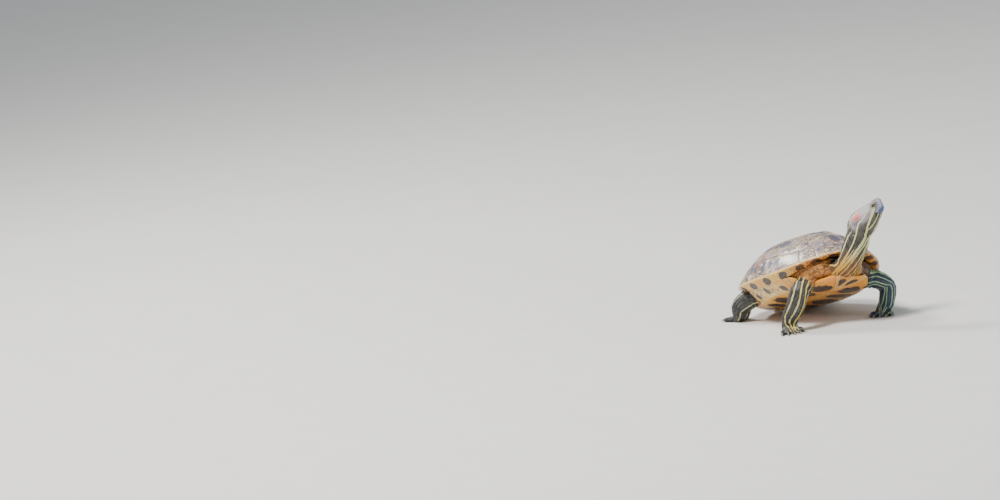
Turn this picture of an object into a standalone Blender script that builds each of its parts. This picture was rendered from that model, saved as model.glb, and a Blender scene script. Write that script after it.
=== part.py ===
"""Red-eared slider turtle, life size, propped on its forelegs with the head raised.

Lengths are in metres.  +Z is up and the floor is z = 0.  The shell, trunk, neck and head
are laid out in a frame of their own: its x runs forward along the shell, y to the animal's
left and z to its back.  That frame is then pitched nose-up and rolled onto the left side.
The limbs start in the shell's frame and end on the floor.
"""
import bpy
import bmesh
import numpy as np
from math import radians
from mathutils import Matrix, Vector

for old in list(bpy.data.objects):
    bpy.data.objects.remove(old, do_unlink=True)

# ---- driving sizes ---------------------------------------------------------------
SHELL_LENGTH = 0.190          # straight length of the carapace
SHELL_HALF_WIDTH = 0.374      # all of the shell's sizes below are fractions of its length
DOME_HEIGHT = 0.262           # top of the back above the rim
FRONT_LIFT = 0.079            # how far the rim rises at the front
REAR_LIFT = 0.037             # and at the rear
REAR_FLARE = 0.10             # the rear half is wider than the front half
RIM_SQUARENESS = 2.25         # 2 is an ellipse, more is squarer
PLASTRON_DEPTH = -0.114       # underside below the middle of the rim
SHELL_WALL = 0.024            # thickness of the shell, as a fraction of its length
BODY_PITCH = radians(16.8)    # nose up
BODY_ROLL = radians(14.1)     # left side down
SHELL_CENTRE = Vector((-0.00595, 0.0020, 0.0443))
GAP = 0.0003                  # clearance between neighbouring pieces

SHELL_FRAME = (Matrix.Translation(SHELL_CENTRE) @ Matrix.Rotation(-BODY_PITCH, 4, 'Y')
               @ Matrix.Rotation(-BODY_ROLL, 4, 'X'))
WORLD_FRAME = Matrix.Translation(SHELL_CENTRE)


# ---- materials -------------------------------------------------------------------
def plain_material(name, colour, roughness):
    """A Principled material of one colour, not metallic."""
    material = bpy.data.materials.new(name)
    material.use_nodes = True
    shader = material.node_tree.nodes["Principled BSDF"]
    shader.inputs["Base Color"].default_value = (*colour, 1.0)
    shader.inputs["Roughness"].default_value = roughness
    shader.inputs["Metallic"].default_value = 0.0
    material.diffuse_color = (*colour, 1.0)
    return material


def horn(piece):
    """Dark olive-brown horn of the upper shell."""
    return plain_material(piece + "_horn", (0.13, 0.10, 0.075), 0.42)


def belly(piece):
    """Yellow-orange horn of the lower shell."""
    return plain_material(piece + "_belly_horn", (0.72, 0.42, 0.10), 0.42)


def hide(piece):
    """Black-olive skin of the limbs, neck and head."""
    return plain_material(piece + "_hide", (0.045, 0.052, 0.035), 0.55)


def loose_skin(piece):
    """Orange-brown skin in the openings of the shell."""
    return plain_material(piece + "_loose_skin", (0.20, 0.12, 0.05), 0.60)


def wet_eye(piece):
    """Wet yellow-green eye."""
    return plain_material(piece + "_wet", (0.30, 0.34, 0.08), 0.15)


# ---- small mesh tools ------------------------------------------------------------
def new_object(name, mesh, look, smooth=True):
    """Link a mesh to the scene as one object with a material of its own."""
    thing = bpy.data.objects.new(name, mesh)
    bpy.context.scene.collection.objects.link(thing)
    mesh.materials.append(look(name))
    for face in mesh.polygons:
        face.use_smooth = smooth
    return thing


def closed_rings(name, rings, look, first_pole=None, last_pole=None, smooth=True):
    """Join closed rings of equal count into a solid; ends are poles or flat caps."""
    shape = bmesh.new()
    loops = [[shape.verts.new(tuple(point)) for point in ring] for ring in rings]
    count = len(loops[0])
    for low, high in zip(loops[:-1], loops[1:]):
        for i in range(count):
            j = (i + 1) % count
            shape.faces.new((low[i], low[j], high[j], high[i]))
    for loop, pole in ((loops[0], first_pole), (loops[-1], last_pole)):
        if pole is None:
            shape.faces.new(loop)
            continue
        tip = shape.verts.new(tuple(pole))
        for i in range(count):
            shape.faces.new((loop[i], loop[(i + 1) % count], tip))
    bmesh.ops.recalc_face_normals(shape, faces=shape.faces[:])
    mesh = bpy.data.meshes.new(name)
    shape.to_mesh(mesh)
    shape.free()
    return new_object(name, mesh, look, smooth)


def grown(source, name, distance):
    """A hidden copy of a solid, every vertex moved out along its normal, to cut with."""
    copy = bpy.data.objects.new(name, source.data.copy())
    bpy.context.scene.collection.objects.link(copy)
    copy.parent = source.parent
    copy.matrix_world = source.matrix_world
    shape = bmesh.new()
    shape.from_mesh(copy.data)
    shape.normal_update()
    shifts = [(vertex, vertex.normal * distance) for vertex in shape.verts]
    for vertex, shift in shifts:
        vertex.co += shift
    shape.to_mesh(copy.data)
    shape.free()
    hide_cutter(copy)
    return copy


def hide_cutter(cutter):
    """Keep a cutting solid out of the render."""
    cutter.hide_render = True
    cutter.display_type = 'WIRE'


def cut(target, cutter, operation='DIFFERENCE'):
    """Boolean one solid with another."""
    step = target.modifiers.new(operation.lower() + "_" + cutter.name, 'BOOLEAN')
    step.operation = operation
    step.solver = 'EXACT'
    step.object = cutter


def smooth_path(knots, samples):
    """Points of a Catmull-Rom curve through the knots, at values 0..1 in samples."""
    knots = np.asarray(knots, float)
    ends = np.vstack([2 * knots[0] - knots[1], knots, 2 * knots[-1] - knots[-2]])
    where = np.asarray(samples, float) * (len(knots) - 1)
    piece = np.clip(where.astype(int), 0, len(knots) - 2)
    t = (where - piece)[:, None]
    a, b, c, d = ends[piece], ends[piece + 1], ends[piece + 2], ends[piece + 3]
    return 0.5 * (2 * b + (c - a) * t + (2 * a - 5 * b + 4 * c - d) * t ** 2
                  + (3 * b - a - 3 * c + d) * t ** 3)


def tube_rings(knots, widths, depths, side, start, end, count, around):
    """Elliptical sections square to a path; side is roughly the direction of the width."""
    samples = np.linspace(start, end, count)
    centres = smooth_path(knots, samples)
    ahead = smooth_path(knots, np.clip(samples + 1e-3, 0, 1))
    behind = smooth_path(knots, np.clip(samples - 1e-3, 0, 1))
    along = ahead - behind
    along /= np.linalg.norm(along, axis=1)[:, None]
    across = np.asarray(side, float) - along * (along @ np.asarray(side, float))[:, None]
    across /= np.linalg.norm(across, axis=1)[:, None]
    deep = np.cross(along, across)
    stations = np.linspace(0, 1, len(widths))
    half_width = np.interp(samples, stations, widths) / 2
    half_depth = np.interp(samples, stations, depths) / 2
    turn = np.linspace(0, 2 * np.pi, around, endpoint=False)
    return (centres[:, None, :] + across[:, None, :] * (half_width[:, None] * np.cos(turn))[..., None]
            + deep[:, None, :] * (half_depth[:, None] * np.sin(turn))[..., None])


def to_world(point):
    """A point given in shell lengths in the shell's frame, in world metres."""
    return np.array(SHELL_FRAME @ Vector([value * SHELL_LENGTH for value in point]))


def on_floor_side(point):
    """A point given in shell lengths from the shell's centre, world directions."""
    return np.array(WORLD_FRAME @ Vector([value * SHELL_LENGTH for value in point]))


# ---- carapace --------------------------------------------------------------------
def signed_power(value, exponent):
    return np.sign(value) * np.abs(value) ** exponent


def rim_line(turn):
    """The shell's edge: a squarish oval, wider behind, rising at the front and rear."""
    c = np.cos(turn)
    lift = np.where(c > 0, FRONT_LIFT, REAR_LIFT)
    power = 2 / RIM_SQUARENESS
    x = 0.5 * signed_power(c, power)
    y = SHELL_HALF_WIDTH * signed_power(np.sin(turn), power) * (1 - REAR_FLARE * c)
    return x, y, lift * c * c


def dome_point(out, turn):
    """A point of the back; out runs from 0 at the top to 1 at the rim."""
    x, y, z = rim_line(turn)
    s = np.sin(turn) ** 2
    behind = np.maximum(-np.cos(turn), 0) ** 2
    ahead = np.maximum(np.cos(turn), 0) ** 2
    steep = 2.1 + 0.5 * s + 0.5 * behind + 0.2 * ahead
    bulge = 1.0 - 0.22 * s + 0.3 * behind + 0.12 * ahead
    rise = DOME_HEIGHT * (1 - out ** steep) ** bulge
    return np.stack([-0.03 * (1 - out) + out * x, out * y, z * out + rise], axis=-1)


def underside_drop(turn):
    """How far the marginal scutes hang below the rim: most at the bridge."""
    return 0.030 * np.exp(-((np.cos(turn) / 0.62) ** 4)) + 0.002


def carapace_rings(turns):
    """Rings from the top of the back out to the rim, under it, and back up inside."""
    rings = [dome_point(out, turns) for out in (0.2, 0.4, 0.58, 0.72, 0.83, 0.92, 0.975)]
    x, y, z = rim_line(turns)
    drop = underside_drop(turns)
    rings.append(np.stack([x, y, z - 0.006], axis=-1))
    rings.append(np.stack([0.985 * x, 0.985 * y, z - 0.016], axis=-1))
    rings.append(np.stack([0.90 * x, 0.90 * y, 0.95 * z - 0.016 - drop], axis=-1))
    rings.append(np.stack([0.85 * x, 0.85 * y, 0.93 * z - 0.006 - drop], axis=-1))
    shrink = 1 - 1.9 * SHELL_WALL
    for out in (0.84, 0.74, 0.6, 0.42, 0.2):
        ring = dome_point(out, turns)
        ring[..., :2] *= shrink
        ring[..., 2] -= SHELL_WALL * (1 + 0.35 * out)
        rings.append(ring)
    return rings


TURNS = np.linspace(0, 2 * np.pi, 40, endpoint=False)


def build_carapace():
    rings = [ring * SHELL_LENGTH for ring in carapace_rings(TURNS)]
    top = np.array([-0.03, 0, DOME_HEIGHT]) * SHELL_LENGTH
    inner_top = top * [1 - 1.9 * SHELL_WALL, 1, 1] - [0, 0, SHELL_WALL * SHELL_LENGTH]
    shell = closed_rings("carapace", rings, horn, top, inner_top)
    shell.matrix_world = SHELL_FRAME
    return shell


# ---- plastron and bridges --------------------------------------------------------
PLASTRON_STATIONS = (-0.455, -0.44, -0.40, -0.33, -0.25, -0.20, -0.10, 0.0, 0.10, 0.17, 0.24, 0.34,
                     0.42, 0.447, 0.458)
PLASTRON_WIDTHS = (0.035, 0.085, 0.155, 0.19, 0.198, 0.215, 0.240, 0.245, 0.235, 0.215, 0.200,
                   0.175, 0.125, 0.100, 0.070)
BRIDGE_REAR = -0.235
BRIDGE_FRONT = 0.235


def plastron_height(x, y):
    """The underside: flat in the middle, turned up at the front and a little at the rear."""
    front = 0.29 * np.maximum(x - 0.25, 0) ** 1.3
    rear = 0.10 * np.maximum(-0.25 - x, 0)
    return PLASTRON_DEPTH + front + rear + 0.10 * y * y


def bridge_amount(x):
    """1 where the bridge joins the two shells, 0 in front of it and behind it."""
    front = 1 / (1 + np.exp((x - BRIDGE_FRONT) / 0.010))
    rear = 1 / (1 + np.exp((BRIDGE_REAR - x) / 0.010))
    return front * rear


def bridge_top(x):
    """Where the bridge meets the marginal scutes, on the left side."""
    along = np.clip(x / 0.5, -0.98, 0.98)
    c = signed_power(along, RIM_SQUARENESS / 2)
    turn = np.arccos(c)
    rx, ry, rz = rim_line(turn)
    return 0.880 * ry, 0.94 * rz - 0.0275 - underside_drop(turn)


def plastron_section(x):
    """One closed cross-section: outer face from right to left, then the inner face back."""
    width = np.interp(x, PLASTRON_STATIONS, PLASTRON_WIDTHS)
    amount = float(bridge_amount(x))
    top_y, top_z = bridge_top(x)
    spread = np.array([0, 0.35, 0.7, 0.92, 1.0])
    flat_y = width * spread
    flat_z = plastron_height(x, flat_y) + 0.006 * spread ** 6
    climb = np.array([0.33, 0.67, 1.0])
    reach = amount * (top_y - width) + 0.004
    rise = amount * (top_z - flat_z[-1]) + 0.004
    bridge_y = width + reach * climb ** 0.85
    bridge_z = flat_z[-1] + rise * climb ** 1.25
    outer = np.concatenate([np.stack([flat_y, flat_z], -1), np.stack([bridge_y, bridge_z], -1)])
    inward = np.concatenate([0.006 * spread ** 4, 0.006 + 0.012 * amount * climb])
    thick = np.concatenate([np.full(5, 0.019), 0.019 - 0.012 * climb])
    inner = outer + np.stack([-inward, thick], -1)
    right_outer = outer[:0:-1] * [-1, 1]
    right_inner = inner[1:] * [-1, 1]
    loop = np.concatenate([right_outer, outer, inner[::-1], right_inner])
    return np.column_stack([np.full(len(loop), x), loop])


def build_plastron():
    xs = (-0.455, -0.435, -0.38, -0.30, -0.265, -0.245, -0.225, -0.20, -0.10, 0.03,
          0.17, 0.21, 0.235, 0.26, 0.30, 0.36, 0.42, 0.447, 0.458)
    rings = [plastron_section(x) * SHELL_LENGTH for x in xs]
    plate = closed_rings("plastron", rings, belly)
    plate.matrix_world = SHELL_FRAME
    return plate


# ---- trunk -----------------------------------------------------------------------
def build_trunk():
    """The body between the two shells, closed by loose skin at the front and rear."""
    rings = []
    shrink = 1 - 1.9 * SHELL_WALL
    slack = GAP / SHELL_LENGTH
    for reach in (0.2, 0.4, 0.56):
        x, y, z = rim_line(TURNS[::2])
        px = reach * 1.22 * x
        py = reach * 0.98 * y
        rings.append(np.stack([px, py, plastron_height(px, py) + 0.022 + slack], axis=-1))
    for reach, level in ((0.66, 0.22), (0.74, 0.48), (0.795, 0.78)):
        x, y, z = rim_line(TURNS[::2])
        lip = 0.93 * z - 0.006 - underside_drop(TURNS[::2])
        low = plastron_height(0.7 * x, 0.6 * y) + 0.022
        rings.append(np.stack([reach * 1.04 * x, reach * y, low + (lip - low) * level], axis=-1))
    for out in (0.80, 0.7, 0.58, 0.44, 0.28, 0.14):
        ring = dome_point(out, TURNS[::2])
        ring[..., :2] *= shrink
        ring[..., 2] -= SHELL_WALL * (1 + 0.35 * out) + 0.006 + 0.05 * out ** 6
        rings.append(ring)
    rings = [ring * SHELL_LENGTH for ring in rings]
    low = np.array([0, 0, PLASTRON_DEPTH + 0.022 + slack]) * SHELL_LENGTH
    high = np.array([-0.03 * shrink, 0, DOME_HEIGHT - SHELL_WALL - 0.006]) * SHELL_LENGTH
    body = closed_rings("trunk", rings, loose_skin, low, high)
    body.matrix_world = SHELL_FRAME
    return body


# ---- neck and head ---------------------------------------------------------------
NECK_KNOTS = ((0.30, -0.010, -0.035), (0.40, -0.033, -0.034), (0.50, -0.058, -0.015),
              (0.568, -0.062, 0.045), (0.602, -0.048, 0.115), (0.612, -0.047, 0.190))
NECK_WIDTHS = (0.110, 0.145, 0.150, 0.150, 0.150, 0.146)
NECK_DEPTHS = (0.070, 0.090, 0.115, 0.140, 0.152, 0.154)
HEAD_ROOT = np.array((0.598, -0.049, 0.198))
HEAD_AHEAD = np.array((0.742, 0.500, 0.535))
HEAD_UP = np.array((0.289, -0.233, 0.928))
HEAD_SIZES = (             # distance ahead, half width, height above the axis, depth below it
    (-0.030, 0.048, 0.038, 0.080),
    (-0.020, 0.060, 0.048, 0.100),
    (0.004, 0.068, 0.062, 0.113),
    (0.036, 0.073, 0.070, 0.108),
    (0.072, 0.071, 0.068, 0.103),
    (0.110, 0.064, 0.062, 0.088),
    (0.148, 0.054, 0.058, 0.065),
    (0.182, 0.044, 0.056, 0.049),
    (0.207, 0.035, 0.052, 0.041),
    (0.225, 0.024, 0.042, 0.024))
HEAD_TIP = (0.233, 0.012)  # distance ahead, height above the axis


def head_axes():
    """Unit vectors ahead, to the left and up of the head, in the shell's frame."""
    ahead = HEAD_AHEAD / np.linalg.norm(HEAD_AHEAD)
    left = np.cross(HEAD_UP, ahead)
    left /= np.linalg.norm(left)
    return ahead, left, np.cross(ahead, left)


def build_head():
    ahead, left, up = head_axes()
    turn = np.linspace(0, 2 * np.pi, 20, endpoint=False)
    rings = []
    for reach, wide, high, deep in HEAD_SIZES:
        c, s = np.cos(turn), np.sin(turn)
        tall = np.where(s > 0, high, deep)
        side = wide * signed_power(c, 0.85)
        rings.append(HEAD_ROOT + ahead * reach + np.outer(side, left)
                     + np.outer(tall * signed_power(s, 0.9), up))
    rings = [ring * SHELL_LENGTH for ring in rings]
    tip = (HEAD_ROOT + ahead * HEAD_TIP[0] + up * HEAD_TIP[1]) * SHELL_LENGTH
    head = closed_rings("head", rings, hide, None, tip)
    head.matrix_world = SHELL_FRAME
    return head


def build_neck():
    knots = np.array(NECK_KNOTS)
    ahead, left, up = head_axes()
    rings = tube_rings(knots, NECK_WIDTHS, NECK_DEPTHS, (0.05, 1.0, 0.0), 0.0, 1.0, 13, 20)
    rings = [ring * SHELL_LENGTH for ring in rings]
    neck = closed_rings("neck", rings, hide)
    neck.matrix_world = SHELL_FRAME
    return neck


EYE_REACH = 0.186
EYE_OUT = 0.0268
EYE_UP = 0.030
EYE_RADIUS = 0.0165


def build_eye(name, side):
    """An eyeball set into the side of the head, and the socket that is cut for it."""
    ahead, left, up = head_axes()
    centre = HEAD_ROOT + ahead * EYE_REACH + left * (side * EYE_OUT) + up * EYE_UP
    centre = SHELL_FRAME @ Vector(centre * SHELL_LENGTH)
    balls = []
    for label, radius in ((name, EYE_RADIUS), (name + "_socket", EYE_RADIUS + GAP / SHELL_LENGTH)):
        shape = bmesh.new()
        bmesh.ops.create_icosphere(shape, subdivisions=2, radius=radius * SHELL_LENGTH)
        mesh = bpy.data.meshes.new(label)
        shape.to_mesh(mesh)
        shape.free()
        ball = new_object(label, mesh, wet_eye)
        ball.location = centre
        balls.append(ball)
    hide_cutter(balls[1])
    return balls


# ---- limbs -----------------------------------------------------------------------
def limb(names, knots, widths, depths, side, cuts, around=12):
    """Slice one smooth tube into upper, middle and end pieces with a small gap between."""
    length = np.linalg.norm(np.diff(smooth_path(knots, np.linspace(0, 1, 60)), axis=0), axis=1).sum()
    slit = GAP / length
    pieces = []
    for name, low, high in zip(names, (0.0,) + cuts, cuts + (1.0,)):
        start = low if low == 0.0 else low + slit / 2
        end = high if high == 1.0 else high - slit / 2
        count = max(4, int(round((high - low) * 20)))
        rings = tube_rings(knots, widths, depths, side, start, end, count, around)
        pieces.append(closed_rings(name, rings, hide))
    return pieces


def part_joints(pieces):
    """Keep the clearance at each joint on the inside of the bend too."""
    for nearer, further in zip(pieces[:-1], pieces[1:]):
        cut(further, grown(nearer, nearer.name + "_cutter", 1.6 * GAP))


def toe_spray(name, wrist, palm, spread, length, claw, droop):
    """Five toes fanned out from the palm, each drawn out into a claw, as one mesh."""
    forward = np.array([palm[0] - wrist[0], palm[1] - wrist[1], 0.0])
    forward /= np.linalg.norm(forward)
    sideways = np.array([-forward[1], forward[0], 0.0])
    shape = bmesh.new()
    for place in (-2, -1, 0, 1, 2):
        angle = place * spread
        heading = forward * np.cos(angle) + sideways * np.sin(angle)
        root = palm - forward * 0.0060 + sideways * place * 0.0047
        reach = length * (1 - 0.07 * place * place)
        knots = [root, root + heading * reach * 0.5 + np.array([0, 0, 0.0012]),
                 root + heading * reach + np.array([0, 0, -droop]),
                 root + heading * (reach + claw) + np.array([0, 0, -droop - claw * 0.35])]
        sizes = (0.0040, 0.0046, 0.0045, 0.0040, 0.0024, 0.0010)
        rings = tube_rings(knots, sizes, sizes, sideways, 0.0, 1.0, 6, 6)
        loops = [[shape.verts.new(tuple(point)) for point in ring] for ring in rings]
        for low, high in zip(loops[:-1], loops[1:]):
            for i in range(6):
                shape.faces.new((low[i], low[(i + 1) % 6], high[(i + 1) % 6], high[i]))
        shape.faces.new(loops[0])
        shape.faces.new(loops[-1])
    bmesh.ops.recalc_face_normals(shape, faces=shape.faces[:])
    mesh = bpy.data.meshes.new(name)
    shape.to_mesh(mesh)
    shape.free()
    toes = new_object(name, mesh, hide)
    hide_cutter(toes)
    return toes


def build_floor_cutter():
    """A slab whose top is the floor; what reaches below it is cut off flat."""
    shape = bmesh.new()
    bmesh.ops.create_cube(shape, size=1.0)
    mesh = bpy.data.meshes.new("floor_cutter")
    shape.to_mesh(mesh)
    shape.free()
    slab = new_object("floor_cutter", mesh, hide, False)
    slab.location = (0, 0, -0.05)
    slab.scale = (0.6, 0.6, 0.1)
    hide_cutter(slab)
    return slab


FORE_WIDTHS = (0.024, 0.024, 0.0225, 0.021, 0.020, 0.0185, 0.019, 0.021)
FORE_DEPTHS = (0.022, 0.022, 0.0205, 0.018, 0.0165, 0.013, 0.0095, 0.0065)
HIND_WIDTHS = (0.030, 0.031, 0.030, 0.027, 0.024, 0.022, 0.022, 0.025)
HIND_DEPTHS = (0.022, 0.024, 0.023, 0.021, 0.018, 0.0145, 0.010, 0.0065)


def build_forelimb(side, knots, spread_side, toe_turn):
    names = ["upper_arm_" + side, "forearm_" + side, "forefoot_" + side]
    pieces = limb(names, knots, FORE_WIDTHS, FORE_DEPTHS, spread_side, (0.42, 0.74))
    part_joints(pieces)
    toes = toe_spray("toes_fore_" + side, knots[-2] - toe_turn, knots[-1], 0.17, 0.0125, 0.0060, 0.0006)
    cut(pieces[2], toes, 'UNION')
    return pieces


def build_hindlimb(side, knots, spread_side, toe_turn):
    names = ["thigh_" + side, "shank_" + side, "hindfoot_" + side]
    pieces = limb(names, knots, HIND_WIDTHS, HIND_DEPTHS, spread_side, (0.45, 0.76))
    part_joints(pieces)
    toes = toe_spray("toes_hind_" + side, knots[-2] - toe_turn, knots[-1], 0.19, 0.0145, 0.0050, 0.0006)
    cut(pieces[2], toes, 'UNION')
    return pieces


def build_tail():
    knots = [to_world((-0.34, 0.0, -0.040)), to_world((-0.43, 0.008, -0.046)),
             to_world((-0.50, 0.030, -0.045)), to_world((-0.550, 0.072, -0.040))]
    sizes = (0.017, 0.016, 0.0125, 0.0095, 0.0065, 0.0032)
    rings = tube_rings(knots, sizes, sizes, (0, 1, 0.2), 0.0, 1.0, 9, 12)
    return closed_rings("tail", rings, hide)


# ---- assembly --------------------------------------------------------------------
carapace = build_carapace()
plastron = build_plastron()
trunk = build_trunk()
neck = build_neck()
head = build_head()
eye_left, socket_left = build_eye("eye_left", 1)
eye_right, socket_right = build_eye("eye_right", -1)
tail = build_tail()

foreleg_right = build_forelimb("right", [
    to_world((0.262, -0.140, -0.070)), to_world((0.262, -0.250, -0.146)),
    on_floor_side((0.250, -0.322, -0.074)), on_floor_side((0.220, -0.345, -0.138)),
    on_floor_side((0.208, -0.352, -0.194)), on_floor_side((0.255, -0.370, -0.220))],
    (0.55, 0.83, 0.0), np.zeros(3))
foreleg_left = build_forelimb("left", [
    to_world((0.265, 0.150, -0.045)), to_world((0.315, 0.245, -0.050)),
    on_floor_side((0.362, 0.292, -0.070)), on_floor_side((0.385, 0.262, -0.151)),
    on_floor_side((0.380, 0.235, -0.196)), on_floor_side((0.410, 0.195, -0.220))],
    (0.83, 0.40, 0.0), np.zeros(3))
hindleg_right = build_hindlimb("right", [
    to_world((-0.280, -0.175, -0.030)), to_world((-0.330, -0.225, -0.045)),
    on_floor_side((-0.375, -0.268, -0.130)), on_floor_side((-0.400, -0.262, -0.182)),
    on_floor_side((-0.430, -0.255, -0.211)), on_floor_side((-0.475, -0.255, -0.221))],
    (-0.1, 1.0, 0.0), np.zeros(3))
hindleg_left = build_hindlimb("left", [
    to_world((-0.260, 0.150, -0.022)), to_world((-0.325, 0.225, -0.020)),
    on_floor_side((-0.378, 0.292, -0.160)), on_floor_side((-0.435, 0.318, -0.193)),
    on_floor_side((-0.480, 0.330, -0.214)), on_floor_side((-0.525, 0.345, -0.221))],
    (0.2, 1.0, 0.0), np.zeros(3))

floor_cutter = build_floor_cutter()
trunk_cutter = grown(trunk, "trunk_cutter", 1.6 * GAP)
carapace_cutter = grown(carapace, "carapace_cutter", 1.6 * GAP)
plastron_cutter = grown(plastron, "plastron_cutter", 1.6 * GAP)
head_cutter = grown(head, "head_cutter", GAP)

cut(head, socket_left)
cut(head, socket_right)
cut(neck, head_cutter)
for piece in (neck, tail, foreleg_right[0], foreleg_left[0], hindleg_right[0], hindleg_left[0]):
    cut(piece, trunk_cutter)
    cut(piece, plastron_cutter)
    cut(piece, carapace_cutter)
for piece in (plastron, hindleg_left[1], hindleg_right[1], foreleg_right[2], foreleg_left[2],
              hindleg_right[2], hindleg_left[2]):
    cut(piece, floor_cutter)
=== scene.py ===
import bmesh
import bpy
import numpy as np
from mathutils import Matrix, Vector


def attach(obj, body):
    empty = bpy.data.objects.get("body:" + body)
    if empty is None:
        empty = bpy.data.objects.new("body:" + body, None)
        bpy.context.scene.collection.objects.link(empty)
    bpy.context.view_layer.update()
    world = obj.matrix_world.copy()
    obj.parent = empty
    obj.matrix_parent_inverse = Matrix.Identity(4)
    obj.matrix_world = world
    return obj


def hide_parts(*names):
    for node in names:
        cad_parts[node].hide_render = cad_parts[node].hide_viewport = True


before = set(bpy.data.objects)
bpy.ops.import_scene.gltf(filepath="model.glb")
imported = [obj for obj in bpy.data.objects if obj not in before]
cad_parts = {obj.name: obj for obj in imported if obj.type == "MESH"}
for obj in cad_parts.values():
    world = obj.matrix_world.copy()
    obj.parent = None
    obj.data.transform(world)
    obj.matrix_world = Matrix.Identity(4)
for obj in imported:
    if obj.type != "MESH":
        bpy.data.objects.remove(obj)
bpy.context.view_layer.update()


# ---- Upper shell -----------------------------------------------------------------------------------------
# The back of a slider is a dome of bone under thin plates of horn: five down the middle, four on each side,
# and a rim of twelve a side with one small plate over the neck. The plates grow from their seams in rings.
SHELL_LENGTH = 0.190                    # metres; the sizes below are in shell lengths unless they say so
HALF_WIDTH = 0.374
DOME_HEIGHT = 0.262
FRONT_LIFT = 0.079
REAR_LIFT = 0.037
REAR_FLARE = 0.10
RIM_SQUARENESS = 2.25
SHELL_WALL = 0.024
SHELL_CENTRE = np.array((-0.00595, 0.0020, 0.0443))
NOSE_UP, LEAN_LEFT = np.radians((16.8, 14.1))
SHELL_TURN = np.array(Matrix.Rotation(-NOSE_UP, 3, "Y") @ Matrix.Rotation(-LEAN_LEFT, 3, "X"))
MIDDLE_PLATES = ((0.355, 0.0), (0.185, 0.0), (0.0, 0.0), (-0.175, 0.0), (-0.350, 0.0))
SIDE_PLATES = ((0.290, 0.222), (0.097, 0.228), (-0.090, 0.225), (-0.268, 0.205))
KEEL_KNOBS = (0.300, 0.195, -0.070, -0.250)
RIM_PLATES = (0.105, 0.105, 0.110, 0.135, 0.145, 0.155, 0.140, 0.120, 0.100, 0.090, 0.080, 0.070)
NECK_PLATE = 0.035
SEAM_DEPTH, SEAM_WIDTH = 0.0034, 0.0042
RING_DEPTH, RING_STEP, RINGS_REACH = 0.0006, 0.0125, 0.05
KNOB_HEIGHT, KNOB_LONG, KNOB_WIDE = 0.0100, 0.042, 0.024
RIPPLE_HEIGHT = 0.0016
NOTCH_DEPTH, NOTCH_WIDTH = 0.016, 0.011
SHELL_TURNS = 460                       # points round the shell
SHELL_ROWS = 138                        # points from its middle out to the rim


def bent(value, power):
    """A power that keeps the sign of what it is given, for squared ovals."""
    return np.sign(value) * np.abs(value) ** power


def bell(value, middle, spread):
    """One where a value is at the middle, fading smoothly to nought two or three spreads away: the number e
    to the power of minus the square of how many spreads away it is."""
    return np.exp(-((value - middle) / spread) ** 2)


def ramp(value, start, length):
    """Nought at a start, one a length further on, and straight between; the length is negative where the ramp
    runs the other way."""
    return np.clip((value - start) / length, 0, 1)


def rim_line(turn):
    """The shell's outline at a turn round it: a squared oval seen from above, wider behind, which rises at
    the front and the back as the square of how far along it is."""
    c, s = np.cos(turn), np.sin(turn)
    along = 0.5 * bent(c, 2 / RIM_SQUARENESS)
    across = HALF_WIDTH * bent(s, 2 / RIM_SQUARENESS) * (1 - REAR_FLARE * c)
    lift = np.where(c > 0, FRONT_LIFT, REAR_LIFT) * c * c
    return along, across, lift


def dome(out, turn):
    """The outside of the shell: a share out from the middle to the rim line, raised by one less a power of
    that share, steep at the sides and behind and easier over the neck."""
    along, across, lift = rim_line(turn)
    c, s = np.cos(turn), np.sin(turn)
    behind, ahead = np.maximum(-c, 0) ** 2, np.maximum(c, 0) ** 2
    steep = 2.1 + 0.5 * s * s + 0.5 * behind + 0.2 * ahead
    bulge = 1 - 0.22 * s * s + 0.3 * behind + 0.12 * ahead
    rise = DOME_HEIGHT * (1 - out ** steep) ** bulge
    return np.stack([-0.03 * (1 - out) + out * along, out * across, out * lift + rise], axis=-1)


def underside_drop(turn):
    """How far the rim's inner edge hangs below its outer one: most at the sides, where the bridge joins."""
    return 0.030 * np.exp(-(np.cos(turn) / 0.62) ** 4) + 0.002


def smooth_path(knots, samples):
    """A smooth curve through knots: each stretch is a cubic whose slope at a knot is half the step between
    the knots on either side of it. Samples run from 0 to 1, and a knot may be a point or a whole ring."""
    knots = np.asarray(knots, float)
    ends = np.concatenate([[2 * knots[0] - knots[1]], knots, [2 * knots[-1] - knots[-2]]])
    where = np.asarray(samples, float) * (len(knots) - 1)
    piece = np.clip(where.astype(int), 0, len(knots) - 2)
    t = (where - piece).reshape((-1,) + (1,) * (knots.ndim - 1))
    a, b, c, d = ends[piece], ends[piece + 1], ends[piece + 2], ends[piece + 3]
    return 0.5 * (2 * b + (c - a) * t + (2 * a - 5 * b + 4 * c - d) * t ** 2
                  + (3 * b - a - 3 * c + d) * t ** 3)


def onto_floor(points):
    """Points in shell lengths along the turtle's own axes, to metres as it stands: turned, scaled, moved."""
    return SHELL_CENTRE + SHELL_LENGTH * (np.asarray(points, float) @ SHELL_TURN.T)


def from_rim_seam(turn):
    """How far a turn is from the nearest seam between rim plates: the length of the outline that far round,
    less the length at each seam, the plates being longest over the bridge."""
    table = np.linspace(0, np.pi, 500)
    along, across, _ = rim_line(table)
    length = np.append(0, np.cumsum(np.hypot(np.diff(along), np.diff(across))))
    seams_at = np.append(0, np.cumsum(RIM_PLATES)) * (length[-1] - NECK_PLATE) / sum(RIM_PLATES)
    seams_at = NECK_PLATE + seams_at
    return np.abs(np.interp(np.abs(turn), table, length)[:, None] - seams_at).min(axis=1)


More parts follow.
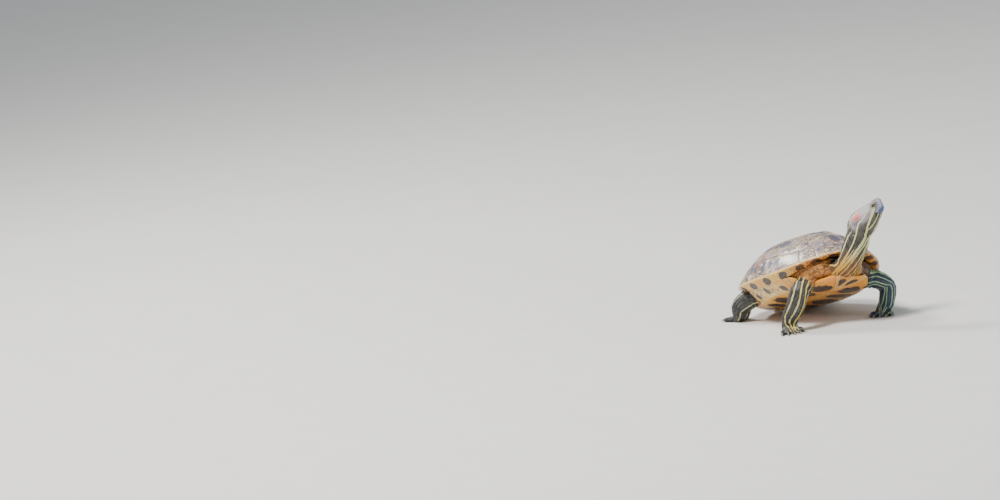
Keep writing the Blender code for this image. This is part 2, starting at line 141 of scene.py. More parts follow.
def back_plates(points):
    """For places on the back: the nearest plate centre, the distance to the seam, which is the line halfway
    to the second nearest, and how far along and across that plate the place lies."""
    centres = np.array(MIDDLE_PLATES + SIDE_PLATES + tuple((x, -y) for x, y in SIDE_PLATES))
    gaps = points[..., None, :2] - centres
    spans = np.linalg.norm(gaps, axis=-1)
    order = np.argsort(spans, axis=-1)
    near, next_near = order[..., 0], order[..., 1]
    d1 = np.take_along_axis(spans, near[..., None], -1)[..., 0]
    d2 = np.take_along_axis(spans, next_near[..., None], -1)[..., 0]
    seam = (d2 ** 2 - d1 ** 2) / (2 * np.linalg.norm(centres[near] - centres[next_near], axis=-1))
    own = np.take_along_axis(gaps, near[..., None, None], -2)[..., 0, :]
    return near, seam, own


def square_out(grid):
    """The direction straight out of a grid of rings at each point: down the grid crossed with round it."""
    round_it = np.roll(grid, -1, axis=1) - np.roll(grid, 1, axis=1)
    square = np.cross(np.gradient(grid, axis=0), round_it)
    return square / np.maximum(np.linalg.norm(square, axis=-1, keepdims=True), 1e-12)


def put_in(name, what):
    """A new object in the scene that holds a mesh, a lamp or a camera."""
    thing = bpy.data.objects.new(name, what)
    bpy.context.scene.collection.objects.link(thing)
    return thing


def closed_piece(name, *grids):
    """One mesh from grids of rings: each point joins the next round its ring and the same one in the next
    ring, and a point in the middle of the first and last ring closes each end. The order of the corners is
    turned round where a grid's volume comes out negative, so that every face looks out."""
    points, faces, first = [], [], 0
    for grid in grids:
        rings, around = grid.shape[:2]
        row, turn = np.meshgrid(np.arange(rings - 1), np.arange(around), indexing="ij")
        beside = (turn + 1) % around
        walls = np.stack([row * around + turn, (row + 1) * around + turn,
                          (row + 1) * around + beside, row * around + beside], axis=-1).reshape(-1, 4)
        ring = np.arange(around)
        after = (ring + 1) % around
        last = (rings - 1) * around
        tips = np.stack([np.full(around, rings * around), np.full(around, rings * around + 1)])
        ends = np.vstack([np.stack([ring, after, tips[0]], axis=-1),
                          np.stack([last + after, last + ring, tips[1]], axis=-1)])
        corners = np.vstack([grid.reshape(-1, 3), grid[0].mean(axis=0), grid[-1].mean(axis=0)])
        middle = corners - corners.mean(axis=0)
        halves = np.vstack([walls[:, [0, 1, 2]], walls[:, [0, 2, 3]], ends])
        one, two, three = (middle[halves[:, corner]] for corner in range(3))
        volume = np.einsum("ij,ij->", np.cross(one, two), three)
        if volume < 0:
            walls, ends = walls[:, ::-1], ends[:, ::-1]
        points.append(corners)
        faces += (walls + first).tolist() + (ends + first).tolist()
        first += len(corners)
    mesh = bpy.data.meshes.new(name)
    mesh.from_pydata(np.vstack(points).tolist(), [], faces)
    mesh.polygons.foreach_set("use_smooth", np.ones(len(mesh.polygons), bool))
    return put_in(name, mesh)


def mark(piece, name, values):
    """Keeps one number for each point of a piece, for its finish to read. A grid of values gets the mean of
    its first and last ring for the two points that close it."""
    values = np.asarray(values, float)
    if values.ndim == 2:
        values = np.append(values.ravel(), [values[0].mean(), values[-1].mean()])
    layer = piece.data.attributes.new(name, "FLOAT", "POINT")
    layer.data.foreach_set("value", np.ascontiguousarray(values, np.float32))


shell_turn = np.linspace(-np.pi, np.pi, SHELL_TURNS, endpoint=False)
shell_out = np.linspace(0.008, 1.0, SHELL_ROWS)[:, None]
shell_top = dome(shell_out, shell_turn)
rim_edge = shell_top[-1]
drop = underside_drop(shell_turn)
nothing = np.zeros(SHELL_TURNS)


def rim_ring(inward, lower, down):
    """A ring under the rim's edge: the edge drawn in by one factor, its height by another, then let down."""
    return rim_edge * (inward, inward, lower) - np.stack([nothing, nothing, nothing + down], axis=-1)


rim_knots = np.array([rim_edge, rim_ring(1, 1, 0.007), rim_ring(0.982, 1, 0.015),
                      rim_ring(0.940, 0.975, 0.017 + 0.50 * drop), rim_ring(0.900, 0.95, 0.016 + drop),
                      rim_ring(0.850, 0.93, 0.006 + drop)])
rim_rows = np.linspace(0, 1, 37)[1:]
shell_rim = smooth_path(rim_knots, rim_rows)
lining_out = np.array((0.84, 0.76, 0.66, 0.54, 0.40, 0.24, 0.10))[:, None]
shell_lining = dome(lining_out, shell_turn)
shell_lining[..., :2] *= 1 - 1.9 * SHELL_WALL
shell_lining[..., 2] -= SHELL_WALL * (1 + 0.35 * lining_out)
shell_grid = np.concatenate([shell_top, shell_rim, shell_lining])
shell_out_all = np.concatenate([np.repeat(shell_out, SHELL_TURNS, 1), np.ones((len(rim_rows), SHELL_TURNS)),
                                np.zeros((len(lining_out), SHELL_TURNS))])

# Where each point lies among the plates: in the rim band or on the back, and how far from the nearest seam.
rim_seam = np.broadcast_to(from_rim_seam(shell_turn), shell_out_all.shape)
band_line = 0.838 + 0.030 * np.cos(shell_turn) - 0.012 * bell(shell_turn, 0, 0.25)
radius = np.hypot(*rim_line(shell_turn)[:2])
band_gap = (shell_out_all - band_line) * radius
which, back_seam, own = back_plates(shell_grid)
in_rim = band_gap > 0
seam = np.where(in_rim, np.minimum(rim_seam, band_gap), np.minimum(back_seam, -band_gap))
seam = np.maximum(seam, 0)
row_step = np.linalg.norm(np.diff(shell_grid, axis=0), axis=-1)
below_edge = np.vstack([nothing, np.cumsum(row_step, axis=0)])
below_edge = below_edge - below_edge[SHELL_ROWS - 1]

# Relief: seams pressed in, growth rings beside them, low knobs along the keel, and notches between the rim
# plates at the back.
rear = ramp(-np.cos(shell_turn), 0.15, 0.5)
edge_share = np.concatenate([ramp(shell_out, 0.88, 0.12).ravel(),
                             np.clip(1.4 - 1.4 * rim_rows, 0, 1), np.zeros(len(lining_out))])[:, None]
notch = 1 - NOTCH_DEPTH * bell(rim_seam, 0, NOTCH_WIDTH) * rear * edge_share
shell_grid[..., :2] *= notch[..., None]
on_top = np.concatenate([np.ones(SHELL_ROWS), np.clip(1 - rim_rows * 2.2, 0.25, 1),
                         np.zeros(len(lining_out))])[:, None]
keel = bell(shell_grid[..., :1], KEEL_KNOBS, KNOB_LONG).sum(axis=-1)
keel = keel * bell(shell_grid[..., 1], 0, KNOB_WIDE) * (shell_out_all > 0)
seam_groove = -SEAM_DEPTH * np.exp(-seam / SEAM_WIDTH)
growth_rings = RING_DEPTH * np.sin(seam * 2 * np.pi / RING_STEP) * np.exp(-seam / RINGS_REACH)
knobs = np.where(in_rim, 0, KNOB_HEIGHT * keel)
ripple = RIPPLE_HEIGHT * np.sin(own[..., 0] * 38 + 3 * own[..., 1]) * np.sin(own[..., 1] * 31 + which)
relief = seam_groove + growth_rings + knobs + ripple * np.exp(-seam / 0.3)
shell_grid += square_out(shell_grid) * (relief * on_top)[..., None]
upper_shell = closed_piece("upper_shell", onto_floor(shell_grid))

MILLIMETRES = 1000 * SHELL_LENGTH
mark(upper_shell, "seam", seam * MILLIMETRES)
mark(upper_shell, "below_edge", below_edge * MILLIMETRES)
mark(upper_shell, "along_plate", np.where(in_rim, rim_seam, own[..., 0]) * MILLIMETRES)
mark(upper_shell, "across_plate", np.where(in_rim, band_gap, np.abs(own[..., 1])) * MILLIMETRES)
mark(upper_shell, "crest", keel)
mark(upper_shell, "rim_band", np.where(in_rim, 1.0, 0.0))
mark(upper_shell, "forward", np.broadcast_to(np.cos(shell_turn), shell_out_all.shape))
blotch_below = np.hypot(rim_seam * MILLIMETRES / 6.4, (below_edge * MILLIMETRES - 7.2) / 5.2) - 1
mark(upper_shell, "rim_blotch", blotch_below)
spot_out = np.where(which < len(MIDDLE_PLATES), 0.045, -0.002)
back_spot = np.hypot(own[..., 0] / 0.046, (np.abs(own[..., 1]) - spot_out) / 0.034) - 1
rim_spot = np.hypot((rim_seam - 0.030) / 0.020, (band_gap - 0.030) / 0.016) - 1
mark(upper_shell, "dark_spot", np.where(in_rim, rim_spot, back_spot))


def add_node(kind, inputs=(), **settings):
    """One node of the finish in hand, whose nodes `tree` holds: its settings, then its inputs, each a number,
    a colour or another node's output."""
    made = tree.nodes.new("ShaderNode" + kind)
    for name, value in settings.items():
        setattr(made, name, value)
    for place_in, value in dict(inputs).items():
        if isinstance(value, bpy.types.NodeSocket):
            tree.links.new(value, made.inputs[place_in])
        else:
            made.inputs[place_in].default_value = value
    return made


def sum_of(how, first, second=0.0, third=0.0):
    """One step of arithmetic between numbers."""
    return add_node("Math", {0: first, 1: second, 2: third}, operation=how).outputs[0]


def times(first, second):
    """Two numbers multiplied."""
    return sum_of("MULTIPLY", first, second)


def times_plus(first, second, third):
    """Two numbers multiplied, and a third added."""
    return sum_of("MULTIPLY_ADD", first, second, third)


def apart(first, second):
    """How far two numbers lie from each other, whichever is the greater."""
    return sum_of("ABSOLUTE", sum_of("SUBTRACT", first, second))


def marked(name):
    """The number kept for each point under a name."""
    return add_node("Attribute", attribute_name=name).outputs["Fac"]


def fade(value, low, high, start=0.0, end=1.0):
    """Runs smoothly from start to end while the value goes from low to high."""
    return add_node("MapRange", {0: value, 1: low, 2: high, 3: start, 4: end},
                    interpolation_type="SMOOTHSTEP").outputs[0]


def grain(size, detail=3.0, stretch=(1, 1, 1), lift=0.0):
    """Clouded noise, 0 to 1, with cells about one size in metres across. Stretch packs it along an axis, and
    lift moves it, in metres, so that two noises of one size differ."""
    place_at = add_node("TexCoord").outputs["Object"]
    moved = add_node("Mapping", {0: place_at, 1: (lift, lift, lift), 3: stretch})
    return add_node("TexNoise", {"Vector": moved.outputs[0], "Scale": 1 / size, "Detail": detail,
                                 "Roughness": 0.55}).outputs["Fac"]


def tint(share, below, above):
    """One colour below and another above, mixed by a share; either may be another mix."""
    colours = [c if isinstance(c, bpy.types.NodeSocket) else (*c, 1.0) for c in (below, above)]
    return add_node("Mix", {0: share, 6: colours[0], 7: colours[1]}, data_type="RGBA").outputs[2]


def new_finish(name, gloss_coat=0.0, coat_roughness=0.2):
    """An empty finish, its node tree, which the functions above add to once it is called `tree`, and its
    surface, with the fixed values on the surface's own sockets."""
    finish = bpy.data.materials.new(name)
    finish.use_nodes = True
    tree = finish.node_tree
    tree.nodes.clear()
    surface = tree.nodes.new("ShaderNodeBsdfPrincipled")
    surface.inputs["Coat Weight"].default_value = gloss_coat
    surface.inputs["Coat Roughness"].default_value = coat_roughness
    end = tree.nodes.new("ShaderNodeOutputMaterial")
    tree.links.new(surface.outputs[0], end.inputs[0])
    return finish, tree, surface


def dress(surface, colour, rough, height, depth):
    """Joins colour, roughness and height to a surface; depth is the height's reach in metres."""
    tree.links.new(colour, surface.inputs["Base Color"])
    tree.links.new(rough, surface.inputs["Roughness"])
    bump = add_node("Bump", {"Strength": 1.0, "Distance": depth, "Height": height})
    tree.links.new(bump.outputs[0], surface.inputs["Normal"])


horn_finish, tree, surface = new_finish("back_horn", gloss_coat=0.42, coat_roughness=0.20)
seam_mm, edge_mm, rim_band = marked("seam"), marked("below_edge"), marked("rim_band")
soft, fine = grain(0.022, 4), grain(0.0016, 3)
wander = grain(0.0085, 3)
ground = tint(fade(soft, 0.34, 0.62), (0.085, 0.066, 0.070), (0.290, 0.232, 0.255))
ground = tint(fade(grain(0.013, 3, lift=0.3), 0.50, 0.66), ground, (0.125, 0.120, 0.190))
ground = tint(fade(grain(0.010, 3, lift=0.9), 0.58, 0.72), ground, (0.620, 0.560, 0.480))
down_plate = times_plus(rim_band, 0.22, 0.20)
rings = times_plus(marked("across_plate"), down_plate, times(wander, 4.6))
rings = times_plus(marked("along_plate"), times_plus(rim_band, -0.20, 0.24), rings)
squiggle = sum_of("SINE", times(rings, 6.283))
squiggle = fade(squiggle, 0.30, 0.75)
squiggle = times(squiggle, fade(grain(0.012, 2, lift=0.7), 0.36, 0.50))
rearward = fade(marked("forward"), 0.1, -0.7)
line_colour = tint(fade(times_plus(rearward, 0.16, grain(0.030, 2, lift=0.1)), 0.52, 0.64),
                   (0.720, 0.560, 0.320), (0.660, 0.250, 0.050))
colour = tint(times(squiggle, 0.92), ground, line_colour)
bar = sum_of("ABSOLUTE", times_plus(wander, 5.0, sum_of("ADD", marked("along_plate"), -2.5)))
bar = times(fade(bar, 1.9, 0.6), sum_of("SUBTRACT", 1.0, rim_band))
bar = times(bar, fade(soft, 0.44, 0.56))
colour = tint(times(bar, 0.55), colour, (0.700, 0.520, 0.290))
spot = fade(times_plus(wander, 1.1, marked("dark_spot")), 0.62, 0.36)
spot = times(spot, fade(grain(0.040, 1, lift=0.45), 0.42, 0.50))
colour = tint(times(spot, 0.86), colour, (0.060, 0.070, 0.135))
colour = tint(fade(marked("crest"), 0.35, 0.85, 0.0, 0.75), colour, (0.690, 0.560, 0.400))
colour = tint(fade(seam_mm, 0.55, 0.18, 0.0, 0.70), colour, (0.080, 0.055, 0.050))
pale_edge = fade(sum_of("ABSOLUTE", sum_of("ADD", edge_mm, 0.2)), 1.7, 0.7)
colour = tint(times(pale_edge, 0.90), colour, (0.800, 0.560, 0.200))
under = fade(edge_mm, 0.6, 1.3)
yellow = tint(fade(soft, 0.35, 0.65), (0.800, 0.380, 0.035), (0.860, 0.540, 0.100))
thin_rings = sum_of("SINE", times_plus(marked("rim_blotch"), 9.5, times(wander, 8.0)))
yellow = tint(times(fade(thin_rings, 0.72, 0.95), 0.70), yellow, (0.170, 0.085, 0.035))
blot = fade(times_plus(wander, 0.9, marked("rim_blotch")), 0.54, 0.40)
core = tint(fade(grain(0.0035, 3), 0.42, 0.62), (0.020, 0.015, 0.014), (0.075, 0.050, 0.038))
yellow = tint(blot, yellow, core)
front = fade(marked("forward"), 0.36, 0.60)
orange = tint(fade(wander, 0.44, 0.58), (0.620, 0.170, 0.020), (0.760, 0.340, 0.050))
worms = apart(grain(0.0042, 1, stretch=(0.6, 0.9, 1.2)), 0.5)
orange = tint(fade(worms, 0.045, 0.015), orange, (0.075, 0.030, 0.015))
orange = tint(times(blot, 0.9), orange, (0.035, 0.020, 0.015))
yellow = tint(front, yellow, orange)
colour = tint(under, colour, yellow)
rough = times_plus(fine, 0.22, 0.26)
lines = sum_of("SINE", times(seam_mm, 5.2))
height = times_plus(lines, 0.10, times(fine, 0.35))
height = times_plus(fade(seam_mm, 0.0, 0.8), 0.9, height)
height = times_plus(grain(0.0045, 4), 0.5, height)
dress(surface, colour, rough, height, 0.00035)
upper_shell.data.materials.append(horn_finish)
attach(upper_shell, "root")
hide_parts("carapace")


# ---- Lower shell -----------------------------------------------------------------------------------------
# The belly plate is flat bone under six pairs of horn plates. At each side it turns up as the bridge and
# meets the rim. It is yellow with one dark blot to a plate, and its front turns up under the throat.
BELLY_DEPTH = -0.114
BELLY_REAR, BELLY_FRONT, BELLY_LONG = -0.455, 0.458, 0.913
BELLY_STATIONS = (-0.455, -0.44, -0.40, -0.33, -0.25, -0.20, -0.10, 0.0, 0.10, 0.17, 0.24, 0.34, 0.42, 0.447,
                  0.458)
BELLY_WIDTHS = (0.035, 0.085, 0.155, 0.190, 0.198, 0.215, 0.240, 0.245, 0.235, 0.215, 0.200, 0.175, 0.125,
                0.100, 0.070)
BRIDGE_REAR, BRIDGE_FRONT = -0.235, 0.235
BELLY_ROWS = 190
FLAT_POINTS, CLIMB_POINTS = 34, 29      # from the middle of the belly out to its edge, and on up the bridge
SEAMS = ((0.262, 1.85), (0.150, 0.12), (0.020, 0.05), (-0.170, -0.05), (-0.270, -0.55))   # place, slant
BLOTS = ((-0.365, 0.060, 0.060, 0.042), (-0.225, 0.118, 0.048, 0.066), (-0.075, 0.130, 0.070, 0.085),
         (0.090, 0.135, 0.055, 0.085), (0.245, 0.105, 0.072, 0.066), (0.368, 0.040, 0.056, 0.030))
BRIDGE_BLOTS = ((0.110, 9.0, 4.6, 6.0), (-0.035, 13.0, 4.2, 5.0), (-0.165, 12.0, 4.0, 5.0))


def belly_height(along, across):
    """Height of the belly's outside: flat in the middle, turned up to the front and a little to the back, and
    dished slightly from side to side."""
    return (BELLY_DEPTH + 0.29 * np.maximum(along - 0.25, 0) ** 1.3 + 0.10 * np.maximum(-0.25 - along, 0)
            + 0.10 * across ** 2)


def bridge_share(along):
    """One where the bridge is, nought outside it, with a short smooth step at each end."""
    return 1 / (1 + np.exp((BRIDGE_REAR - along) / 0.010)) / (1 + np.exp((along - BRIDGE_FRONT) / 0.014))


def bridge_top(along):
    """Where the bridge meets the rim, above each place along the belly: half width and height."""
    c = bent(np.clip(along / 0.5, -0.98, 0.98), RIM_SQUARENESS / 2)
    turn = np.arccos(c)
    _, across, lift = rim_line(turn)
    return 0.888 * across, 0.94 * lift - 0.0190 - underside_drop(turn)


def points_of(mesh):
    """Every point of a mesh as an array."""
    flat = np.empty(len(mesh.vertices) * 3)
    mesh.vertices.foreach_get("co", flat)
    return flat.reshape(-1, 3)


def set_points(mesh, points):
    """Puts an array of points back into its mesh."""
    mesh.vertices.foreach_set("co", points.ravel())
    mesh.update()


def lift_to_floor(mesh):
    """Moves every point that lies below the floor straight up onto it."""
    points = points_of(mesh)
    points[:, 2] = np.maximum(points[:, 2], 0.0)
    set_points(mesh, points)


even = np.linspace(0, 1, BELLY_ROWS)
stations = BELLY_REAR + BELLY_LONG * (even - 0.035 * np.sin(2 * np.pi * even))
even_places = np.linspace(BELLY_REAR, BELLY_FRONT, 400)
rounding = np.hanning(15)[1:-1] / np.hanning(15).sum()
half_widths = np.pad(np.interp(even_places, BELLY_STATIONS, BELLY_WIDTHS), 6, "edge")
width = np.interp(stations, even_places, np.convolve(half_widths, rounding, "valid"))[:, None]
along = stations[:, None]
amount = bridge_share(along)
top_y, top_z = bridge_top(along)
spread = np.linspace(0, 1, FLAT_POINTS)
climb = np.linspace(0, 1, CLIMB_POINTS)[1:]
flat_y = width * spread
flat_z = belly_height(along, flat_y) + 0.006 * spread ** 6
reach = amount * (top_y - width) + 0.004
rise = amount * (top_z - flat_z[:, -1:]) + 0.004
climb_y = width + reach * climb ** 0.85
climb_z = flat_z[:, -1:] + rise * climb ** 1.25
outer_y, outer_z = np.hstack([flat_y, climb_y]), np.hstack([flat_z, climb_z])
from_end = np.minimum(along - BELLY_REAR, BELLY_FRONT - along)
full = np.sqrt(np.clip(1 - (1 - np.clip(from_end / 0.022, 0, 1)) ** 2, 0.02, 1))
PLATE_THICK, EDGE_INSET, CLIMB_CHANGE = 0.019, 0.006, 0.012
step_in = np.hstack([EDGE_INSET * spread ** 4 + 0 * along, EDGE_INSET + CLIMB_CHANGE * amount * climb])
step_up = np.hstack([PLATE_THICK + 0 * spread + 0 * along,
                     PLATE_THICK - CLIMB_CHANGE * climb + 0 * along]) * full
inner_y, inner_z = outer_y - step_in, outer_z + step_up
pick = np.unique(np.round(np.linspace(0, outer_y.shape[1] - 1, 26)).astype(int))[::-1]
half_y = np.hstack([outer_y, inner_y[:, pick]])
half_z = np.hstack([outer_z, inner_z[:, pick]])
belly_y = np.hstack([half_y, -half_y[:, -2:0:-1]])
belly_z = np.hstack([half_z, half_z[:, -2:0:-1]])
belly_x = np.broadcast_to(along, belly_y.shape)
belly_grid = np.stack([belly_x, belly_y, belly_z], axis=-1)

# Which plate each point is in, its distance from the nearest seam, and from its plate's blot.
side_y = np.abs(belly_y)
out_to_edge = np.minimum(side_y, width)
seam_gaps = np.stack([(belly_x - at - slant * out_to_edge) / np.hypot(1, slant) for at, slant in SEAMS])
belly_seam = np.minimum(np.abs(seam_gaps).min(axis=0), np.abs(belly_y - 0.004 * np.sin(belly_x * 34)))
plate_number = (seam_gaps > 0).sum(axis=0)
blots = np.array(BLOTS)[plate_number]
belly_blot = np.hypot((belly_x - blots[..., 0]) / blots[..., 2], (side_y - blots[..., 1]) / blots[..., 3]) - 1
steps = np.linalg.norm(np.diff(belly_grid[:, :outer_y.shape[1]], axis=1), axis=-1)
run = np.hstack([np.zeros((BELLY_ROWS, 1)), np.cumsum(steps, axis=1)])
run -= run[:, FLAT_POINTS - 1:FLAT_POINTS].copy()
past_edge_half = np.hstack([run, run[:, pick]])
past_edge = np.hstack([past_edge_half, past_edge_half[:, -2:0:-1]])
hidden_half = np.hstack([np.zeros(outer_y.shape[1]), np.ones(len(pick))])
hidden = np.broadcast_to(np.append(hidden_half, hidden_half[-2:0:-1]), belly_y.shape)
groove = -0.0026 * np.exp(-belly_seam / 0.0040) * (1 - hidden) * np.clip(1 - past_edge / 0.02, 0, 1)
belly_grid[..., 2] -= groove
lower_shell = closed_piece("lower_shell", onto_floor(belly_grid))
lift_to_floor(lower_shell.data)
mark(lower_shell, "seam", belly_seam * MILLIMETRES)
mark(lower_shell, "blot", belly_blot)
mark(lower_shell, "past_edge", past_edge * MILLIMETRES)
mark(lower_shell, "rearward", ramp(belly_x, 0.15, -0.10))
bridge_blot = np.min([np.hypot((belly_x - x) * MILLIMETRES / wide, (past_edge * MILLIMETRES - at) / tall)
                      for x, at, wide, tall in BRIDGE_BLOTS], axis=0) - 1
mark(lower_shell, "bridge_blot", bridge_blot)

belly_finish, tree, surface = new_finish("belly_horn", gloss_coat=0.30, coat_roughness=0.20)
seam_mm, past = marked("seam"), marked("past_edge")
soft, wander, fine = grain(0.025, 3), grain(0.0080, 4), grain(0.0016, 3)
ground = tint(fade(soft, 0.36, 0.66), (0.820, 0.300, 0.025), (0.870, 0.480, 0.070))
pale = fade(times_plus(wander, 3.0, past), 0.6, 4.0)
ground = tint(times(pale, marked("rearward")), ground, (0.830, 0.560, 0.170))
near_seam = times_plus(wander, 1.6, sum_of("ADD", seam_mm, -0.8))
ground = tint(fade(near_seam, 2.2, 1.0, 0.0, 0.75), ground, (0.860, 0.620, 0.220))
red_line = apart(near_seam, 3.0)
ground = tint(fade(red_line, 0.9, 0.2, 0.0, 0.75), ground, (0.640, 0.110, 0.015))
blot = times_plus(wander, 0.95, marked("blot"))
edge_mist = fade(blot, 0.64, 0.44)
off_seam = fade(seam_mm, 0.6, 1.5)
colour = tint(times(times(edge_mist, 0.55), off_seam), ground, (0.360, 0.120, 0.020))
core = tint(fade(grain(0.004, 3), 0.40, 0.62), (0.022, 0.018, 0.018), (0.080, 0.055, 0.045))
off_bridge = times(fade(past, 3.0, 0.5), off_seam)
colour = tint(times(fade(blot, 0.54, 0.42), off_bridge), colour, core)
scribble = apart(grain(0.0110, 3, stretch=(1, 1, 1.4), lift=0.2), 0.5)
scribble = times(fade(scribble, 0.042, 0.016), fade(past, 2.0, 5.0))
scribble = times(scribble, marked("rearward"))
colour = tint(times(scribble, 0.80), colour, (0.190, 0.130, 0.095))
patch = fade(times_plus(wander, 1.2, marked("bridge_blot")), 0.72, 0.50)
colour = tint(patch, colour, (0.050, 0.038, 0.034))
colour = tint(fade(seam_mm, 0.75, 0.30, 0.0, 0.55), colour, (0.300, 0.110, 0.030))
rough = times_plus(fine, 0.20, 0.25)
height = times_plus(fade(seam_mm, 0.0, 0.7), 0.8, times(fine, 0.3))
height = times_plus(grain(0.005, 3), 0.6, height)
dress(surface, colour, rough, height, 0.0003)
lower_shell.data.materials.append(belly_finish)
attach(lower_shell, "root")
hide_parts("plastron")


# ---- Skin ------------------------------------------------------------------------------------------------
# One loose, scaly hide covers neck, head, legs and tail and lines the shell's openings. It is built as soft
# volumes melted into one surface, then creased, scaled and striped along each limb.
NECK_KNOTS = np.array(((0.30, -0.010, -0.035), (0.40, -0.033, -0.034), (0.50, -0.058, -0.015),
                       (0.568, -0.062, 0.045), (0.602, -0.048, 0.115), (0.612, -0.047, 0.190)))
NECK_WIDTHS = (0.110, 0.145, 0.150, 0.150, 0.150, 0.146)
NECK_DEPTHS = (0.070, 0.090, 0.115, 0.140, 0.152, 0.154)
NECK_SIDE = (0.05, 1.0, 0.0)
HEAD_ROOT = np.array((0.598, -0.049, 0.198))
HEAD_AHEAD = np.array((0.742, 0.500, 0.535))
HEAD_UP = np.array((0.289, -0.233, 0.928))
NECK_TWIST = np.radians(45)             # how far the head's turn winds the neck's skin round, at its top
HEAD_SIZES = np.array((                 # way ahead, half width, height above the head's line, depth below
    (-0.045, 0.030, 0.020, 0.050), (-0.030, 0.048, 0.038, 0.080), (-0.012, 0.060, 0.052, 0.100),
    (0.010, 0.068, 0.063, 0.107), (0.036, 0.073, 0.070, 0.103), (0.072, 0.072, 0.069, 0.097),
    (0.110, 0.064, 0.063, 0.082), (0.148, 0.054, 0.059, 0.061), (0.182, 0.044, 0.056, 0.048),
    (0.207, 0.037, 0.051, 0.043), (0.223, 0.029, 0.043, 0.036), (0.230, 0.020, 0.030, 0.026)))
HEAD_SQUARE_OUT, HEAD_SQUARE_UP = 0.85, 0.90      # powers of the head's squared ovals, sideways and upward
CHIN_BACK = 0.30                        # how far the front of the beak slopes back towards the chin
EYE_AHEAD, EYE_OUT, EYE_UP, EYE_RADIUS = 0.1825, 0.0224, 0.0306, 0.0154
FORE_WIDTHS = (0.020, 0.0215, 0.0225, 0.021, 0.020, 0.0185, 0.019, 0.021)      # metres, as are the depths
FORE_DEPTHS = (0.022, 0.022, 0.0205, 0.018, 0.0165, 0.013, 0.0095, 0.0065)
HIND_WIDTHS = (0.030, 0.031, 0.030, 0.027, 0.024, 0.022, 0.022, 0.025)
HIND_DEPTHS = (0.022, 0.024, 0.023, 0.021, 0.018, 0.0145, 0.010, 0.0065)
TAIL_SIZES = (0.017, 0.016, 0.0125, 0.0095, 0.0065, 0.0032)
SKIN_STEP = 0.00084                     # metres between points of the melted surface


def beside_shell(points):
    """Points in shell lengths from the shell's middle, but along the floor's directions, to metres."""
    return SHELL_CENTRE + SHELL_LENGTH * np.asarray(points, float)


LIMBS = {
    "foreleg_right": (np.vstack([onto_floor([(0.268, -0.180, -0.048), (0.262, -0.260, -0.130)]),
                                 beside_shell([(0.250, -0.322, -0.074), (0.220, -0.345, -0.138),
                                               (0.208, -0.352, -0.194), (0.255, -0.370, -0.220)])]),
                      FORE_WIDTHS, FORE_DEPTHS, (0.55, 0.83, 0.0)),
    "foreleg_left": (np.vstack([onto_floor([(0.265, 0.150, -0.045), (0.315, 0.245, -0.050)]),
                                beside_shell([(0.362, 0.292, -0.070), (0.385, 0.262, -0.151),
                                              (0.380, 0.235, -0.196), (0.410, 0.195, -0.220)])]),
                     FORE_WIDTHS, FORE_DEPTHS, (0.83, 0.40, 0.0)),
    "hindleg_right": (np.vstack([onto_floor([(-0.280, -0.175, -0.030), (-0.330, -0.225, -0.045)]),
                                 beside_shell([(-0.375, -0.268, -0.130), (-0.400, -0.262, -0.182),
                                               (-0.430, -0.255, -0.211), (-0.475, -0.255, -0.221)])]),
                      HIND_WIDTHS, HIND_DEPTHS, (-0.1, 1.0, 0.0)),
    "hindleg_left": (np.vstack([onto_floor([(-0.260, 0.150, -0.022), (-0.325, 0.225, -0.020)]),
                                beside_shell([(-0.378, 0.292, -0.160), (-0.435, 0.318, -0.193),
                                              (-0.480, 0.330, -0.214), (-0.525, 0.345, -0.221)])]),
                     HIND_WIDTHS, HIND_DEPTHS, (0.2, 1.0, 0.0)),
    "tail": (onto_floor([(-0.34, 0.0, -0.040), (-0.43, 0.008, -0.046), (-0.50, 0.030, -0.045),
                         (-0.550, 0.072, -0.040)]),
             TAIL_SIZES, TAIL_SIZES, tuple(SHELL_TURN @ np.array((0, 1, 0)))),
    "neck": (onto_floor(NECK_KNOTS), tuple(w * SHELL_LENGTH for w in NECK_WIDTHS),
             tuple(d * SHELL_LENGTH for d in NECK_DEPTHS), tuple(SHELL_TURN @ np.array(NECK_SIDE)))}


def limb_frame(knots, side, samples):
    """Along a smooth path: its points, and at each the way ahead, the width's direction and the depth's."""
    centres = smooth_path(knots, samples)
    ahead = smooth_path(knots, np.clip(samples + 1e-3, 0, 1))
    ahead -= smooth_path(knots, np.clip(samples - 1e-3, 0, 1))
    ahead /= np.linalg.norm(ahead, axis=1)[:, None]
    across = np.asarray(side, float) - ahead * (ahead @ np.asarray(side, float))[:, None]
    across /= np.linalg.norm(across, axis=1)[:, None]
    return centres, ahead, across, np.cross(ahead, across)


def halves_along(sizes, samples):
    """Half of a limb's size at shares of its path, changing smoothly between the sizes given."""
    return smooth_path(np.array(sizes)[:, None], samples) / 2


def once_round(count):
    """The cosines and sines of a full turn's evenly spaced angles."""
    turn = np.linspace(0, 2 * np.pi, count, endpoint=False)
    return np.cos(turn), np.sin(turn)


def limb_grid(knots, widths, depths, side, count=48, around=28, end=1.0):
    """A limb's volume: ovals square to its path, as wide and deep as the sizes there, as far as a share of
    the path."""
    samples = np.linspace(0, end, count)
    centres, _, across, deep = limb_frame(knots, side, samples)
    c, s = once_round(around)
    return (centres[:, None] + across[:, None] * (halves_along(widths, samples) * c)[..., None]
            + deep[:, None] * (halves_along(depths, samples) * s)[..., None])


def unit(direction):
    """A direction made one long."""
    return direction / np.linalg.norm(direction)


def head_axes():
    """The head's own directions, in the shell's: ahead, to its left, and up."""
    ahead = unit(HEAD_AHEAD)
    left = unit(np.cross(HEAD_UP, ahead))
    return ahead, left, np.cross(ahead, left)


